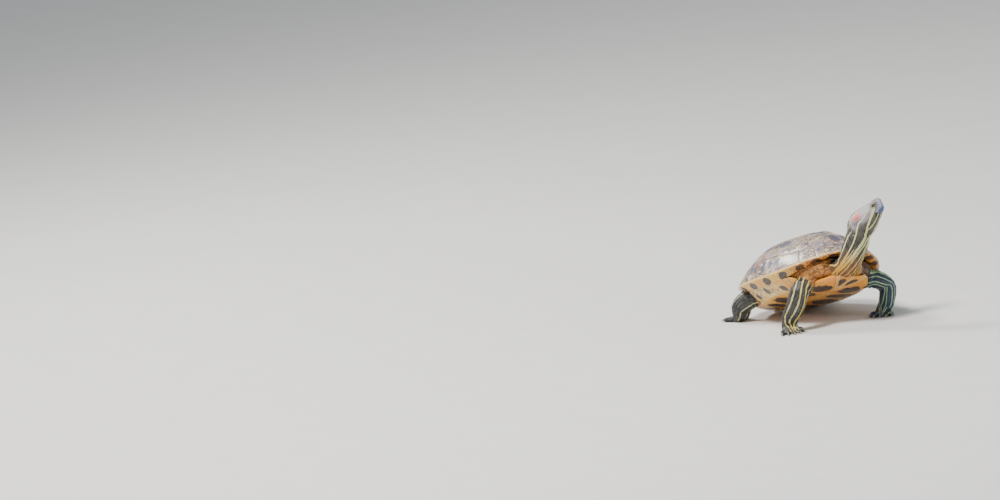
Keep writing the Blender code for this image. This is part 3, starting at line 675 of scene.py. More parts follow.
def head_grid(count=60, around=44):
    """The head's volume: sections across it, each a squared oval, higher above its axis or deeper below. The
    snout's sections lean back below, in proportion to how far ahead and how low down they are."""
    sizes = smooth_path(HEAD_SIZES, np.linspace(0, 1, count))
    c, s = once_round(around)
    wide = sizes[:, 1:2] * bent(c, HEAD_SQUARE_OUT)
    tall = np.where(s > 0, sizes[:, 2:3], sizes[:, 3:4]) * bent(s, HEAD_SQUARE_UP)
    snout, low_down = np.clip(sizes[:, 0:1] - 0.165, 0, 1), np.clip((0.030 - tall) / 0.060, 0, 1.2)
    sloped = sizes[:, 0:1] - CHIN_BACK * snout * low_down
    ahead, left, up = head_axes()
    return HEAD_ROOT + sloped[..., None] * ahead + wide[..., None] * left + tall[..., None] * up


def head_ring(ahead_by, turns):
    """A ring round the head at a distance ahead, by degrees round from the crown, counting up leftwards."""
    _, wide, above, below = (np.interp(ahead_by, HEAD_SIZES[:, 0], column) for column in HEAD_SIZES.T)
    turns = np.radians(turns)
    tall = np.where(np.cos(turns) > 0, above, below) * bent(np.cos(turns), HEAD_SQUARE_UP)
    out = wide * bent(np.sin(turns), HEAD_SQUARE_OUT)
    ahead, left, up = head_axes()
    return onto_floor(HEAD_ROOT + ahead_by * ahead + out[:, None] * left + tall[:, None] * up)


def on_neck(shares, turns, side):
    """Points on the skin of the neck, by the share along it and degrees round from the nape to one side. The
    skin is wound round towards the head, evenly from near the neck's foot."""
    knots, widths, depths, across_side = LIMBS["neck"]
    shares = np.asarray(shares, float)
    turns = side * np.radians(np.asarray(turns, float)) - NECK_TWIST * ramp(shares, 0.15, 0.75)
    centres, _, across, deep = limb_frame(knots, across_side, shares)
    return (centres + deep * halves_along(depths, shares) * np.cos(turns)[:, None]
            + across * halves_along(widths, shares) * np.sin(turns)[:, None])


def throat_grid(count=26, around=48):
    """The join of neck and head: rings that pass evenly from one on the neck to one round the head's back."""
    turns = np.linspace(-180, 180, around, endpoint=False)
    low, high = on_neck(np.full(around, 0.76), turns, 1), head_ring(0.036, turns)
    share = np.linspace(0, 1, count)[:, None, None]
    return low * (1 - share) + high * share


def lining_grid(low, high, count=14):
    """The hide inside one end of the shell: flat-bottomed rings between the belly and the back, from one
    place along the shell to another, each a squared oval that fills the opening."""
    xs = np.linspace(low, high, count)[:, None]
    c, s = once_round(60)
    at = np.arccos(bent(np.clip(xs / 0.5, -0.98, 0.98), RIM_SQUARENESS / 2))
    _, half, lift = rim_line(at)
    half = 0.80 * half
    bottom = belly_height(xs, 0) + 0.024
    top = 0.93 * lift - 0.004 + 0.10 * np.clip(1 - (np.abs(xs) / 0.42) ** 2, 0, 1)
    middle, tall = (bottom + top) / 2, (top - bottom) / 2
    out = half * bent(c, 0.7)
    set_back = 0.10 * np.clip(out, 0, 0.5) * ramp(xs, 0.1, 0.3)
    return np.stack([xs - set_back, out, middle + tall * bent(s, 0.8)], axis=-1)


# For each foot, the angle between its toes and their length.
FEET = {"foreleg_right": (0.17, 0.0125), "foreleg_left": (0.17, 0.0125),
        "hindleg_right": (0.19, 0.0145), "hindleg_left": (0.19, 0.0145)}
TOE_ROOT_BACK, TOE_SPACING = 0.0060, 0.0047
TOE_DROOP = np.array((0, 0, -0.0006))


def toe_paths(limb):
    """Where the five toes of a foot run, and how long each is: fanned evenly out from the palm."""
    wrist, palm = LIMBS[limb][0][-2:]
    between_toes, length = FEET[limb]
    forward = unit(np.array([palm[0] - wrist[0], palm[1] - wrist[1], 0.0]))
    sideways = np.array([-forward[1], forward[0], 0.0])
    for number in (-2, -1, 0, 1, 2):
        heading = forward * np.cos(number * between_toes) + sideways * np.sin(number * between_toes)
        root = palm - forward * TOE_ROOT_BACK + sideways * number * TOE_SPACING
        yield number, root, heading, sideways, length * (1 - 0.07 * number * number)


TOE_SIZES = (0.0044, 0.0050, 0.0047, 0.0045, 0.0036, 0.0022)
WEB_SIZES = (0.0080, 0.0105, 0.0105, 0.0105, 0.0080)
volumes = [limb_grid(*LIMBS[name], end=0.86 if name == "neck" else 1.0) for name in LIMBS]
volumes.append(throat_grid())
neck_foot = onto_floor([(0.26, 0.0, -0.030), (0.34, -0.012, -0.030), (0.42, -0.036, -0.028),
                        (0.50, -0.058, -0.013)])
volumes.append(limb_grid(neck_foot, SHELL_LENGTH * np.array((0.46, 0.38, 0.250, 0.158)),
                         SHELL_LENGTH * np.array((0.10, 0.104, 0.104, 0.116)), LIMBS["neck"][3], 30, 40))
volumes.append(onto_floor(head_grid()))
volumes.append(onto_floor(lining_grid(0.10, 0.405)))
volumes.append(onto_floor(lining_grid(-0.405, -0.16)))
core = np.linspace(-0.30, 0.30, 8)
core = np.stack([core, 0 * core, 0 * core - 0.02], axis=-1)
volumes.append(onto_floor(limb_grid(core, (0.10, 0.10), (0.08, 0.08), (0, 1, 0), 8, 12)))
for name in FEET:
    webs = []
    for number, root, heading, sideways, far in toe_paths(name):
        toe = np.array([root, root + heading * far * 0.5 + (0, 0, 0.0012),
                        root + heading * far * 0.92 + TOE_DROOP, root + heading * far * 1.10 + 2 * TOE_DROOP])
        volumes.append(limb_grid(toe, TOE_SIZES, TOE_SIZES, sideways, 14, 12))
        webs.append(root + heading * far * (0.62 if "hind" in name else 0.30))
    wrist, palm = LIMBS[name][0][-2:]
    volumes.append(limb_grid(webs, WEB_SIZES, (0.0026,) * 5, palm - wrist, 20, 12))

rough_hide = closed_piece("rough_hide", *volumes)
melt = rough_hide.modifiers.new("melt", "REMESH")
melt.mode = "VOXEL"
melt.voxel_size = SKIN_STEP
bpy.context.view_layer.update()
melted = bpy.data.meshes.new_from_object(rough_hide.evaluated_get(bpy.context.evaluated_depsgraph_get()))
bpy.data.objects.remove(rough_hide)


def relaxed(mesh, points, times, only=None):
    """Smooths without shrinking: every point goes halfway to the mean of its neighbours, then a little more
    than that back the other way, over and over."""
    pairs = np.empty(len(mesh.edges) * 2, int)
    mesh.edges.foreach_get("vertices", pairs)
    a, b = pairs[0::2], pairs[1::2]
    count = np.bincount(pairs, minlength=len(points)).astype(float)[:, None]
    share = 1.0 if only is None else only[:, None]
    for number in range(times * 2):
        total = np.stack([np.bincount(a, points[b, axis], len(points))
                          + np.bincount(b, points[a, axis], len(points)) for axis in range(3)], axis=-1)
        points = points + (0.5 if number % 2 == 0 else -0.51) * share * (total / count - points)
    return points


def in_shell(points):
    """Metres to shell lengths along the turtle's own axes: moved, turned back and scaled."""
    return (points - SHELL_CENTRE) @ SHELL_TURN / SHELL_LENGTH


def in_head(points):
    """Metres to the head's own directions, in shell lengths from its root: ahead, left and up."""
    return (in_shell(points) - HEAD_ROOT) @ np.array(head_axes()).T


hide_points = relaxed(melted, points_of(melted), 7)
ahead_of = in_head(hide_points)
at_join = bell(ahead_of[:, 0], -0.005, 0.045) * (np.linalg.norm(ahead_of, axis=1) < 0.16)
set_points(melted, relaxed(melted, hide_points, 30, at_join))

# What lies buried in the shell needs few points: they are gathered there, and spent on the head instead.
x_in, y_in, z_in = in_shell(points_of(melted)).T
x_in, y_in = np.abs(x_in), np.abs(y_in)
over_trunk = (x_in < 0.38) & (y_in < 0.24) & (z_in > 0.01)
under_trunk = (x_in < 0.38) & (y_in < 0.15) & (z_in < -0.075)
buried = (x_in < 0.21) | over_trunk | under_trunk
whole = put_in("whole_hide", melted)
whole.vertex_groups.new(name="buried").add(np.flatnonzero(buried).tolist(), 1.0, "REPLACE")
thin_out = whole.modifiers.new("thin_out", "DECIMATE")
thin_out.vertex_group = "buried"
thin_out.ratio = 1 - 0.90 * buried.mean()
bpy.context.view_layer.update()
melted = bpy.data.meshes.new_from_object(whole.evaluated_get(bpy.context.evaluated_depsgraph_get()))
bpy.data.objects.remove(whole)
shape = bmesh.new()
shape.from_mesh(melted)
ahead_of = in_head(points_of(melted))
fine_zone = (ahead_of[:, 0] > 0.005) & (np.abs(ahead_of[:, 1]) < 0.12) & (np.abs(ahead_of[:, 2]) < 0.15)
shape.verts.ensure_lookup_table()
head_edges = [edge for edge in shape.edges if all(fine_zone[end.index] for end in edge.verts)]
bmesh.ops.subdivide_edges(shape, edges=head_edges, cuts=1, use_grid_fill=True)
shape.to_mesh(melted)
shape.free()
skin = put_in("skin", melted)
hide_points = points_of(melted)
ahead_of = in_head(hide_points)
hide_points = relaxed(melted, hide_points, 3, np.clip(ahead_of[:, 0] / 0.02, 0, 1))


def straight_out(mesh):
    """The direction out of the surface at every point."""
    flat = np.empty(len(mesh.vertices) * 3)
    mesh.vertex_normals.foreach_get("vector", flat)
    return flat.reshape(-1, 3)


POINTS_AT_ONCE = 12000                  # points measured together, which spares memory


def along_limbs(points):
    """For every point: the limb whose path is nearest for its thickness, how far along that limb it is, the
    angle round it, its distance from the path in metres, and that distance over the limb's half width."""
    best = np.full(len(points), 9.0)
    number, share, angle, far = (np.zeros(len(points)) for _ in range(4))
    samples = np.linspace(0, 1, 120)
    for place_in, (knots, widths, depths, side) in enumerate(LIMBS.values()):
        centres, ahead, across, deep = limb_frame(knots, side, samples)
        half = halves_along(widths, samples)[:, 0]
        for first in range(0, len(points), POINTS_AT_ONCE):
            part = slice(first, first + POINTS_AT_ONCE)
            block = points[part]
            span = np.linalg.norm(block[:, None] - centres, axis=-1)
            nearest = span.argmin(axis=1)
            gap = span[np.arange(len(block)), nearest]
            ratio = gap / half[nearest]
            better = ratio < best[part]
            offset = block - centres[nearest]
            round_it = np.arctan2((offset * deep[nearest]).sum(1), (offset * across[nearest]).sum(1))
            for store, value in ((best, ratio), (number, float(place_in)), (share, samples[nearest]),
                                 (angle, round_it), (far, gap)):
                store[part] = np.where(better, value, store[part])
    return number.astype(int), share, angle, far, best


set_points(melted, hide_points)
limb_number, limb_share, limb_angle, limb_far, limb_ratio = along_limbs(hide_points)


def on_limb(name):
    """Which points belong to the limb of that name."""
    return limb_number == list(LIMBS).index(name)


is_neck = on_limb("neck")
near_line = (np.abs(ahead_of[:, 1]) < 0.12) & (np.abs(ahead_of[:, 2]) < 0.16)
head_share = ramp(ahead_of[:, 0], -0.02, 0.03) * near_line
bare_neck = is_neck * (1 - head_share)

# Folds: rings of slack skin where a leg or the neck leaves the shell, lengthwise creases on the neck, and the
# scales of the legs.
normal = straight_out(melted)
leg = ~is_neck & ~on_limb("tail")
root_fold = bell(limb_share, 0.16, 0.14)
fold = 0.00050 * np.sin(limb_share * 95 + 1.4 * np.sin(limb_angle * 2)) * root_fold * leg
elbow = bell(limb_share, 0.44, 0.07)
fold += 0.00030 * np.sin(limb_share * 150 + np.sin(limb_angle * 3)) * elbow * leg
neck_low = bell(limb_share, 0.34, 0.20)
fold += 0.00040 * np.sin(limb_share * 70 + 1.2 * np.cos(limb_angle * 3)) * neck_low * bare_neck
fold += 0.00016 * np.sin(limb_angle * 26 + 2 * np.sin(limb_share * 14)) * bare_neck
scale_row = limb_share * 17
scale_turn = limb_angle / (2 * np.pi) * 8 + 0.5 * (np.floor(scale_row) % 2)
scale_edge = (scale_row % 1) * (1 - np.abs(2 * (scale_turn % 1) - 1) ** 4)
on_scales = ramp(limb_share, 0.36, 0.10) * ramp(limb_share, 0.92, -0.06) * leg
fold += 0.00034 * (scale_edge - 0.4) * on_scales
x_in, y_in, z_in = in_shell(hide_points).T
slack = ramp(limb_ratio, 1.1, 0.3) * (1 - head_share)
fold += 0.00050 * slack * np.sin(z_in * 260 - x_in * 60 + 2.2 * np.sin(y_in * 24 + x_in * 9))
hide_points = hide_points + normal * (fold * np.clip(limb_ratio, 0, 1))[:, None]
set_points(melted, hide_points)


def soft_step(value, at, softness):
    """A smooth step from nought to one as a value passes a place: one over the sum of one and the number e to
    the way still to go over the softness. A softness below nought turns the step round."""
    return 1 / (1 + np.exp((at - value) / softness))


# The face: sunk eyes between thick lids, a brow, nostrils, and the beak's cutting edge over the lower jaw.
a, l, u = in_head(hide_points).T
slant = np.radians(14)
eye_a = (a - EYE_AHEAD) * np.cos(slant) - (u - EYE_UP) * np.sin(slant)
eye_u = (a - EYE_AHEAD) * np.sin(slant) + (u - EYE_UP) * np.cos(slant)
at_side = np.abs(l) > 0.012
lid_gap = np.hypot(eye_a / 0.0138, eye_u / (0.0080 - 0.0012 * np.tanh(eye_u / 0.003)))
ring = bell(lid_gap, 1.30, 0.22) * (1 + 0.35 * np.clip(eye_u / 0.012, -1, 1)) * at_side
outer_ring = bell(lid_gap, 1.80, 0.17) * at_side
hollow = soft_step(lid_gap, 0.98, -0.045) * at_side
brow = np.exp(-(((a - 0.180) / 0.030) ** 2 + ((u - 0.0500) / 0.010) ** 2)) * at_side
face_out = -0.0125 * hollow + 0.0042 * ring - 0.0014 * outer_ring + 0.0026 * brow
mouth_u = np.interp(a, (0.150, 0.160, 0.172, 0.188, 0.204, 0.222),
                    (-0.010, -0.0125, -0.0175, -0.0250, -0.0315, -0.0335))
on_mouth = soft_step(a, 0.157, 0.002)
from_mouth = u - mouth_u
lip_groove = bell(from_mouth, 0, 0.0022) * on_mouth
under_lip = (soft_step(from_mouth, -0.0015, -0.0012) - soft_step(from_mouth, -0.030, -0.004)) * on_mouth
face_out += -0.0030 * lip_groove - 0.0032 * np.clip(under_lip, 0, 1)
nostril = np.exp(-(((np.abs(l) - 0.0085) / 0.0032) ** 2 + ((u - 0.0260) / 0.0030) ** 2)) * (a > 0.21)
face_out -= 0.0042 * nostril
cheek = np.exp(-(((a - 0.075) / 0.035) ** 2 + ((u + 0.020) / 0.040) ** 2)) * at_side
face_out += 0.0022 * cheek * head_share
ear = np.hypot((a - 0.046) / 0.021, (u - 0.004) / 0.019)
face_out += (-0.0016 * bell(ear, 1.0, 0.16) + 0.0006 * (ear < 1)) * at_side * head_share
throat = np.exp(-((np.abs(l) - 0.030) / 0.016) ** 2) * ramp(-u, 0.02, 0.05) * head_share
face_out -= 0.0016 * throat * np.sin(a * 120) ** 2
near_face = (head_share > 0.5) & (a > 0.0)
shift = np.where(near_face, 1.0, 0.0)[:, None] * SHELL_LENGTH
normal = straight_out(melted)
hide_points = hide_points + shift * face_out[:, None] * normal
hide_points[:, 2] = np.maximum(hide_points[:, 2], 0.0)
set_points(melted, hide_points)
melted.polygons.foreach_set("use_smooth", np.ones(len(melted.polygons), bool))

# Markings: each light stripe is a curve laid over the skin, and each point keeps its distance from the
# nearest, so that a stripe stays crisp however close the view. Each row below gives a stripe's places ahead
# and up on the head, then its shares along the neck with degrees round from the nape, then its half widths
# along the whole of it.
HEAD_STRIPES = (
    (((0.176, 0.018), (0.163, 0.010), (0.142, -0.004), (0.107, -0.023), (0.085, -0.035), (0.066, -0.046),
      (0.040, -0.066)),
     ((0.80, 142), (0.68, 132), (0.58, 124), (0.46, 114), (0.36, 108), (0.10, 108)),
     (0.0040, 0.0066, 0.0068, 0.0052, 0.0080, 0.0088, 0.0066, 0.0046)),
    (((0.138, 0.031), (0.110, 0.020), (0.070, 0.010), (0.040, 0.004)),
     ((0.86, 99), (0.74, 100), (0.62, 98), (0.50, 93), (0.38, 91), (0.10, 94)),
     (0.0018, 0.0030, 0.0032, 0.0046, 0.0046)),
    ((), ((0.93, 76), (0.88, 63), (0.74, 58), (0.62, 60), (0.50, 64), (0.38, 68), (0.10, 78)),
     (0.0010, 0.0050, 0.0052, 0.0044)),
    (((0.172, -0.030), (0.140, -0.043), (0.113, -0.053), (0.085, -0.058), (0.058, -0.058)), (),
     (0.0022, 0.0036, 0.0034)),
    (((0.176, -0.044), (0.160, -0.052), (0.128, -0.068), (0.095, -0.081), (0.070, -0.092), (0.040, -0.098)),
     ((0.82, 164), (0.74, 154), (0.68, 147), (0.61, 141), (0.54, 136), (0.42, 130), (0.10, 128)),
     (0.0028, 0.0038, 0.0042, 0.0044)),
    (((0.150, -0.059), (0.105, -0.080), (0.045, -0.0995)),
     ((0.82, 176), (0.66, 169), (0.57, 165), (0.50, 162), (0.40, 156), (0.10, 150)),
     (0.0026, 0.0034, 0.0040, 0.0040)),
    ((), ((0.70, 118), (0.62, 112), (0.50, 103), (0.38, 99), (0.16, 100)), (0.0012, 0.0032, 0.0030)),
    (((0.030, 0.052),), ((0.88, 32), (0.74, 30), (0.50, 34), (0.14, 38)), (0.0016, 0.0034, 0.0030)),
    (((0.198, 0.052), (0.150, 0.056), (0.100, 0.062), (0.040, 0.062)), ((0.88, 12), (0.50, 12), (0.14, 12)),
     (0.0014, 0.0018, 0.0022)))
RED_PATCH = ((0.086, 0.053), (0.070, 0.048), (0.053, 0.044), (0.038, 0.041))
RED_HALVES = (0.0045, 0.0125, 0.0145, 0.0085)


def on_head(places, side):
    """Points on the skin of the head from how far ahead and up they are: out to the squared oval there."""
    places = np.asarray(places, float).reshape(-1, 2)
    wide = np.interp(places[:, 0], HEAD_SIZES[:, 0], HEAD_SIZES[:, 1])
    high = np.interp(places[:, 0], HEAD_SIZES[:, 0], HEAD_SIZES[:, 2])
    deep = np.interp(places[:, 0], HEAD_SIZES[:, 0], HEAD_SIZES[:, 3])
    reach = np.where(places[:, 1] > 0, high, deep)
    s = np.clip(np.abs(places[:, 1]) / reach, 0, 0.999) ** (1 / HEAD_SQUARE_UP)
    out = side * wide * (1 - s * s) ** (HEAD_SQUARE_OUT / 2)
    ahead, left, up = head_axes()
    return onto_floor(HEAD_ROOT + places[:, :1] * ahead + out[:, None] * left + places[:, 1:] * up)


def from_line(points, normals, line, halves, count):
    """Distance over the skin from each point to a curve, less the curve's half width there: the gap to the
    nearest of many places on it, with what lies straight out of the skin left aside. The curve is first laid
    onto the skin: moved to the nearest points of it, and smoothed. All in metres."""
    samples = np.linspace(0, 1, count)
    path = smooth_path(line, samples)
    laid = points[[np.linalg.norm(points - place_on, axis=1).argmin() for place_on in path]]
    even_out = np.hanning(11)[1:-1] / np.hanning(11).sum()
    longer = [np.pad(axis, 4, "reflect", reflect_type="odd") for axis in laid.T]
    path = np.stack([np.convolve(axis, even_out, "valid") for axis in longer], axis=-1)
    half = np.interp(samples, np.linspace(0, 1, len(halves)), halves)
    gap = np.full(len(points), 1.0)
    for first in range(0, len(points), POINTS_AT_ONCE):
        part = slice(first, first + POINTS_AT_ONCE)
        nearest = (np.linalg.norm(points[part][:, None] - path, axis=-1) - half).argmin(axis=1)
        offset = points[part] - path[nearest]
        over = offset - normals[part] * (offset * normals[part]).sum(1)[:, None]
        far, flat = np.linalg.norm(offset, axis=1), np.linalg.norm(over, axis=1)
        gap[part] = np.where(far < 0.012, flat, far) - half[nearest]
    return gap


normal = straight_out(melted)
body = np.flatnonzero((head_share > 0) | is_neck)
stripe, red = np.full((2, len(hide_points)), 0.05)


def lay(marks, line, halves, count=70):
    """Lays one more curve on head and neck: each distance kept so far gives way to a shorter one."""
    marks[body] = np.minimum(marks[body], from_line(hide_points[body], normal[body], line, halves, count))


for on_side, down_neck, halves in HEAD_STRIPES:
    for side in (1, -1):
        shares, turns = np.array(down_neck, float).reshape(-1, 2).T
        line = np.vstack([on_head(on_side, side), on_neck(shares, turns, side)])
        lay(stripe, line, SHELL_LENGTH * np.array(halves), 26 * len(line))
chin = np.vstack([on_head([(0.170, -0.053), (0.12, -0.076), (0.05, -0.100)], 0.0),
                  on_neck([0.84, 0.62, 0.38, 0.12], [180] * 4, 1)])
lay(stripe, chin, [0.0004, 0.0008], 120)
for side in (1, -1):
    lay(red, on_head(RED_PATCH, side), SHELL_LENGTH * np.array(RED_HALVES))

# Each stripe of a limb: degrees round it, half width in metres.
HIND_BANDS = ((-150, 0.0005), (-118, 0.0006), (-90, 0.0005), (-64, 0.0006), (-38, 0.0005), (-10, 0.0007),
              (20, 0.0005), (55, 0.0006), (95, 0.0006), (140, 0.0006))
LIMB_STRIPES = {
    "foreleg_right": ((-160, 0.0006), (-129, 0.0010), (-110, 0.0005), (-92, 0.0005), (-72, 0.0011),
                      (-50, 0.0006), (-22, 0.0009), (12, 0.0006), (45, 0.0009), (90, 0.0008), (135, 0.0008)),
    "foreleg_left": ((-168, 0.0005), (-142, 0.0006), (-116, 0.0005), (-92, 0.0008), (-68, 0.0005),
                     (-46, 0.0007), (-22, 0.0013), (4, 0.0005), (30, 0.0006), (60, 0.0005), (95, 0.0006),
                     (135, 0.0006)),
    "hindleg_right": HIND_BANDS,
    "hindleg_left": HIND_BANDS,
    "tail": ((-150, 0.0005), (-90, 0.0006), (-30, 0.0005), (30, 0.0005), (90, 0.0006), (150, 0.0005))}
bold = np.zeros(len(hide_points))
for name, bands in LIMB_STRIPES.items():
    of_it = on_limb(name) & (head_share <= 0)
    for degrees, half in bands:
        swerve = np.radians(degrees) + 0.16 * np.sin(limb_share * 9 + degrees)
        turned = np.abs((limb_angle - swerve + np.pi) % (2 * np.pi) - np.pi)
        gap = turned * np.minimum(limb_far, 0.012) - half * (1.15 - 0.4 * limb_share)
        bold = np.where(of_it & (gap < stripe), ramp(half, 0.0006, 0.0004), bold)
        stripe = np.where(of_it, np.minimum(stripe, gap), stripe)

from_nape = (np.pi / 2 - limb_angle + NECK_TWIST * ramp(limb_share, 0.15, 0.75) + np.pi) % (2 * np.pi) - np.pi
turned_round = np.where(is_neck, np.abs(from_nape), 0)
hairs = np.where(head_share > 0, (u - 0.45 * a) * 800, np.where(is_neck, turned_round * 36, limb_angle * 18))
inside = np.clip(1 - limb_share / 0.20, 0, 1)
inside = np.where(is_neck, np.clip(1 - (limb_share - 0.02) / 0.30, 0, 1), inside)
inside = np.maximum(inside, ramp(limb_ratio, 1.15, 0.35) * (limb_share < 0.6))
inside = np.where(head_share > 0, 0, inside)
beak_line = np.interp(u, (-0.060, -0.045, -0.034, -0.022, -0.010, 0.004, 0.022, 0.052),
                      (0.186, 0.183, 0.180, 0.170, 0.164, 0.190, 0.206, 0.217))
head_or_neck = is_neck | (head_share > 0)
paint = {"stripe": stripe * 1000,       # distances in millimetres: stripe, red, beak and mouth
         "red": red * 1000,
         "beak": np.where(near_face, (a - beak_line) * MILLIMETRES, -20),
         "mouth": np.where(near_face & (a > 0.150), np.abs(from_mouth) * MILLIMETRES, 20),
         "jaw": np.clip(-from_mouth / 0.004, 0, 1) * near_face,
         "nostril": nostril * near_face,
         "lid": np.where(near_face & at_side, lid_gap, 9.0),
         "under_head": np.where(head_share > 0, -u, 0),
         "face": head_share,
         "neck": head_or_neck,
         "low_neck": np.where(is_neck, ramp(limb_share, 0.68, -0.22) * ramp(turned_round, 0.9, 0.6), 0),
         "around": turned_round,
         "hairs": hairs,
         # marks the left foreleg, whose colours get painted shade
         "left_arm": on_limb("foreleg_left") * (head_share <= 0),
         "bold": bold,
         "scales": ~head_or_neck * ramp(limb_share, 0.15, 0.25),
         "inside": inside,
         # how far towards the turtle's left, where the skin in the openings gets painted shade
         "far_side": ramp(in_shell(hide_points)[:, 1], 0.0, 0.08)}
for name, values in paint.items():
    mark(skin, name, values)


def wavered(value, noise, reach):
    """A number moved to and fro by a noise: what the noise differs from a half is added, times a reach."""
    return times_plus(sum_of("SUBTRACT", noise, 0.5), reach, value)


def scale_pattern(per_metre, groove):
    """Rounded scales, so many to a metre: nought in the grooves between them, one beyond a groove's width."""
    place_at = add_node("TexCoord").outputs["Object"]
    cells = add_node("TexVoronoi", {"Vector": place_at, "Scale": per_metre}, feature="DISTANCE_TO_EDGE")
    return fade(cells.outputs["Distance"], 0.0, groove)


skin_finish, tree, surface = new_finish("hide", gloss_coat=0.14, coat_roughness=0.30)
stripe_mm, neck_part, face = marked("stripe"), marked("neck"), marked("face")
soft, wander, fine = grain(0.012, 3), grain(0.0030, 3), grain(0.0009, 2)
broad, below = grain(0.0100, 2, lift=0.8), marked("under_head")
left_arm, low_neck, around = marked("left_arm"), marked("low_neck"), marked("around")
neck_dark = tint(fade(soft, 0.38, 0.62), (0.010, 0.010, 0.008), (0.040, 0.036, 0.026))
leg_dark = tint(fade(soft, 0.40, 0.62), (0.007, 0.007, 0.007), (0.032, 0.032, 0.030))
# The left foreleg's bluer, darker base is painted shade: a shaded copy of the legs' near-black skin.
shade_blue_dark = tint(fade(soft, 0.40, 0.62), (0.006, 0.020, 0.052), (0.018, 0.050, 0.105))
leg_dark = tint(left_arm, leg_dark, shade_blue_dark)
dark = tint(neck_part, leg_dark, neck_dark)
dark = tint(times(low_neck, 0.60), dark, tint(wander, (0.110, 0.034, 0.006), (0.420, 0.150, 0.014)))
# The top half of the head is paler lavender-grey: partly the head's own grey, partly a painted sunlit sheen
# on its top.
crown = times(face, fade(times_plus(wander, 0.010, below), 0.030, 0.000))
crown_grey_and_sheen = tint(fade(soft, 0.35, 0.65), (0.190, 0.166, 0.195), (0.400, 0.360, 0.415))
dark = tint(times(crown, 0.92), dark, crown_grey_and_sheen)
hair_lines = sum_of("SINE", times_plus(broad, 12.0, marked("hairs")))
hair_share = times(fade(hair_lines, 0.35, 0.95), fade(grain(0.006, 2, lift=0.4), 0.38, 0.56))
hair_share = times(hair_share, fade(below, -0.022, 0.002))
hair_colour = tint(neck_part, (0.330, 0.340, 0.320), (0.460, 0.430, 0.330))
hair_share = times(hair_share, times_plus(face, 0.12, 0.24))
colour = tint(hair_share, dark, hair_colour)
cream = tint(fade(soft, 0.42, 0.60), (0.820, 0.750, 0.440), (0.760, 0.700, 0.280))
cream = tint(fade(below, 0.030, 0.062), cream, (0.560, 0.600, 0.190))
cream = tint(fade(around, 2.10, 2.60), cream, (0.640, 0.620, 0.250))
cream = tint(low_neck, cream, tint(soft, (0.740, 0.320, 0.012), (0.850, 0.520, 0.060)))
leg_stripe = tint(fade(broad, 0.50, 0.56), (0.660, 0.640, 0.430), (0.700, 0.610, 0.200))
leg_stripe = tint(marked("bold"), leg_stripe, (0.820, 0.640, 0.050))
# The left foreleg's stripes turn green: painted shade over the same cream stripes.
shade_green_stripe = tint(fade(broad, 0.44, 0.56), (0.280, 0.480, 0.230), (0.500, 0.640, 0.360))
leg_stripe = tint(left_arm, leg_stripe, shade_green_stripe)
cream = tint(neck_part, leg_stripe, cream)
wavy = wavered(stripe_mm, broad, 1.2)
colour = tint(fade(wavy, 0.20, -0.05), colour, cream)
red_wavy = wavered(marked("red"), wander, 1.1)
colour = tint(fade(red_wavy, 2.6, 0.2, 0.0, 0.32), colour, (0.640, 0.300, 0.270))
rosy = tint(fade(wander, 0.40, 0.62), (0.600, 0.055, 0.030), (0.780, 0.180, 0.120))
colour = tint(fade(red_wavy, 0.6, -0.5), colour, rosy)
worms = apart(grain(0.0034, 2, stretch=(0.55, 0.70, 1.30), lift=0.3), 0.5)
# The skin in the shell's openings is one orange-brown, painted as lit orange on the turtle's right and as
# darker shaded brown on its left: painted light and shade.
pocket = tint(soft, tint(marked("far_side"), (0.480, 0.160, 0.025), (0.060, 0.034, 0.012)),
              tint(marked("far_side"), (0.700, 0.340, 0.070), (0.170, 0.085, 0.025)))
pocket = tint(fade(worms, 0.055, 0.014, 0.0, 0.9), pocket, (0.075, 0.034, 0.018))
inside = wavered(marked("inside"), wander, 0.5)
colour = tint(fade(inside, 0.34, 0.62), colour, pocket)
beak_mm = wavered(marked("beak"), wander, 0.8)
# The lower front of the beak is painted deep blue: painted shade on the front of the snout.
shaded_low_front = times(fade(times_plus(wander, 0.010, below), 0.000, 0.024), fade(beak_mm, 1.0, 3.8))
beak_colour = tint(fade(soft, 0.40, 0.60), (0.280, 0.300, 0.380), (0.430, 0.440, 0.520))
beak_colour = tint(shaded_low_front, beak_colour, (0.022, 0.070, 0.200))
pale_fleck = fade(grain(0.0013, 3, lift=0.6), 0.46, 0.72, 0.0, 0.34)
beak_colour = tint(pale_fleck, beak_colour, (0.560, 0.600, 0.680))
dark_fleck = fade(grain(0.0017, 3, lift=0.2), 0.50, 0.74, 0.0, 0.45)
beak_colour = tint(dark_fleck, beak_colour, (0.090, 0.105, 0.170))
beak_colour = tint(fade(marked("jaw"), 0.2, 0.8, 0.0, 0.75), beak_colour, (0.060, 0.068, 0.090))
beak_share = fade(beak_mm, -0.45, 0.45)
colour = tint(beak_share, colour, beak_colour)
colour = tint(fade(marked("mouth"), 0.42, 0.16), colour, (0.018, 0.014, 0.014))
# The nostril pits are painted near black: painted shade in the pits.
colour = tint(fade(marked("nostril"), 0.30, 0.70), colour, (0.010, 0.010, 0.012))
lid_line = fade(apart(marked("lid"), 1.24), 0.26, 0.08)
colour = tint(times(lid_line, 0.60), colour, (0.430, 0.415, 0.300))
# The crease round the lids is painted dark: painted shade in the groove.
lid_crease_shade = fade(apart(marked("lid"), 1.74), 0.26, 0.06)
colour = tint(times(lid_crease_shade, 0.6), colour, (0.050, 0.045, 0.050))
# Inside the lids, round the eyeball, the skin is painted near black: painted shade in the eye's hollow.
colour = tint(fade(marked("lid"), 1.06, 0.94), colour, (0.034, 0.030, 0.024))
scaled = marked("scales")
fine_and_large = {0: scaled, 2: scale_pattern(1000, 0.20), 3: scale_pattern(520, 0.14)}
bumps = add_node("Mix", fine_and_large, data_type="FLOAT").outputs[0]
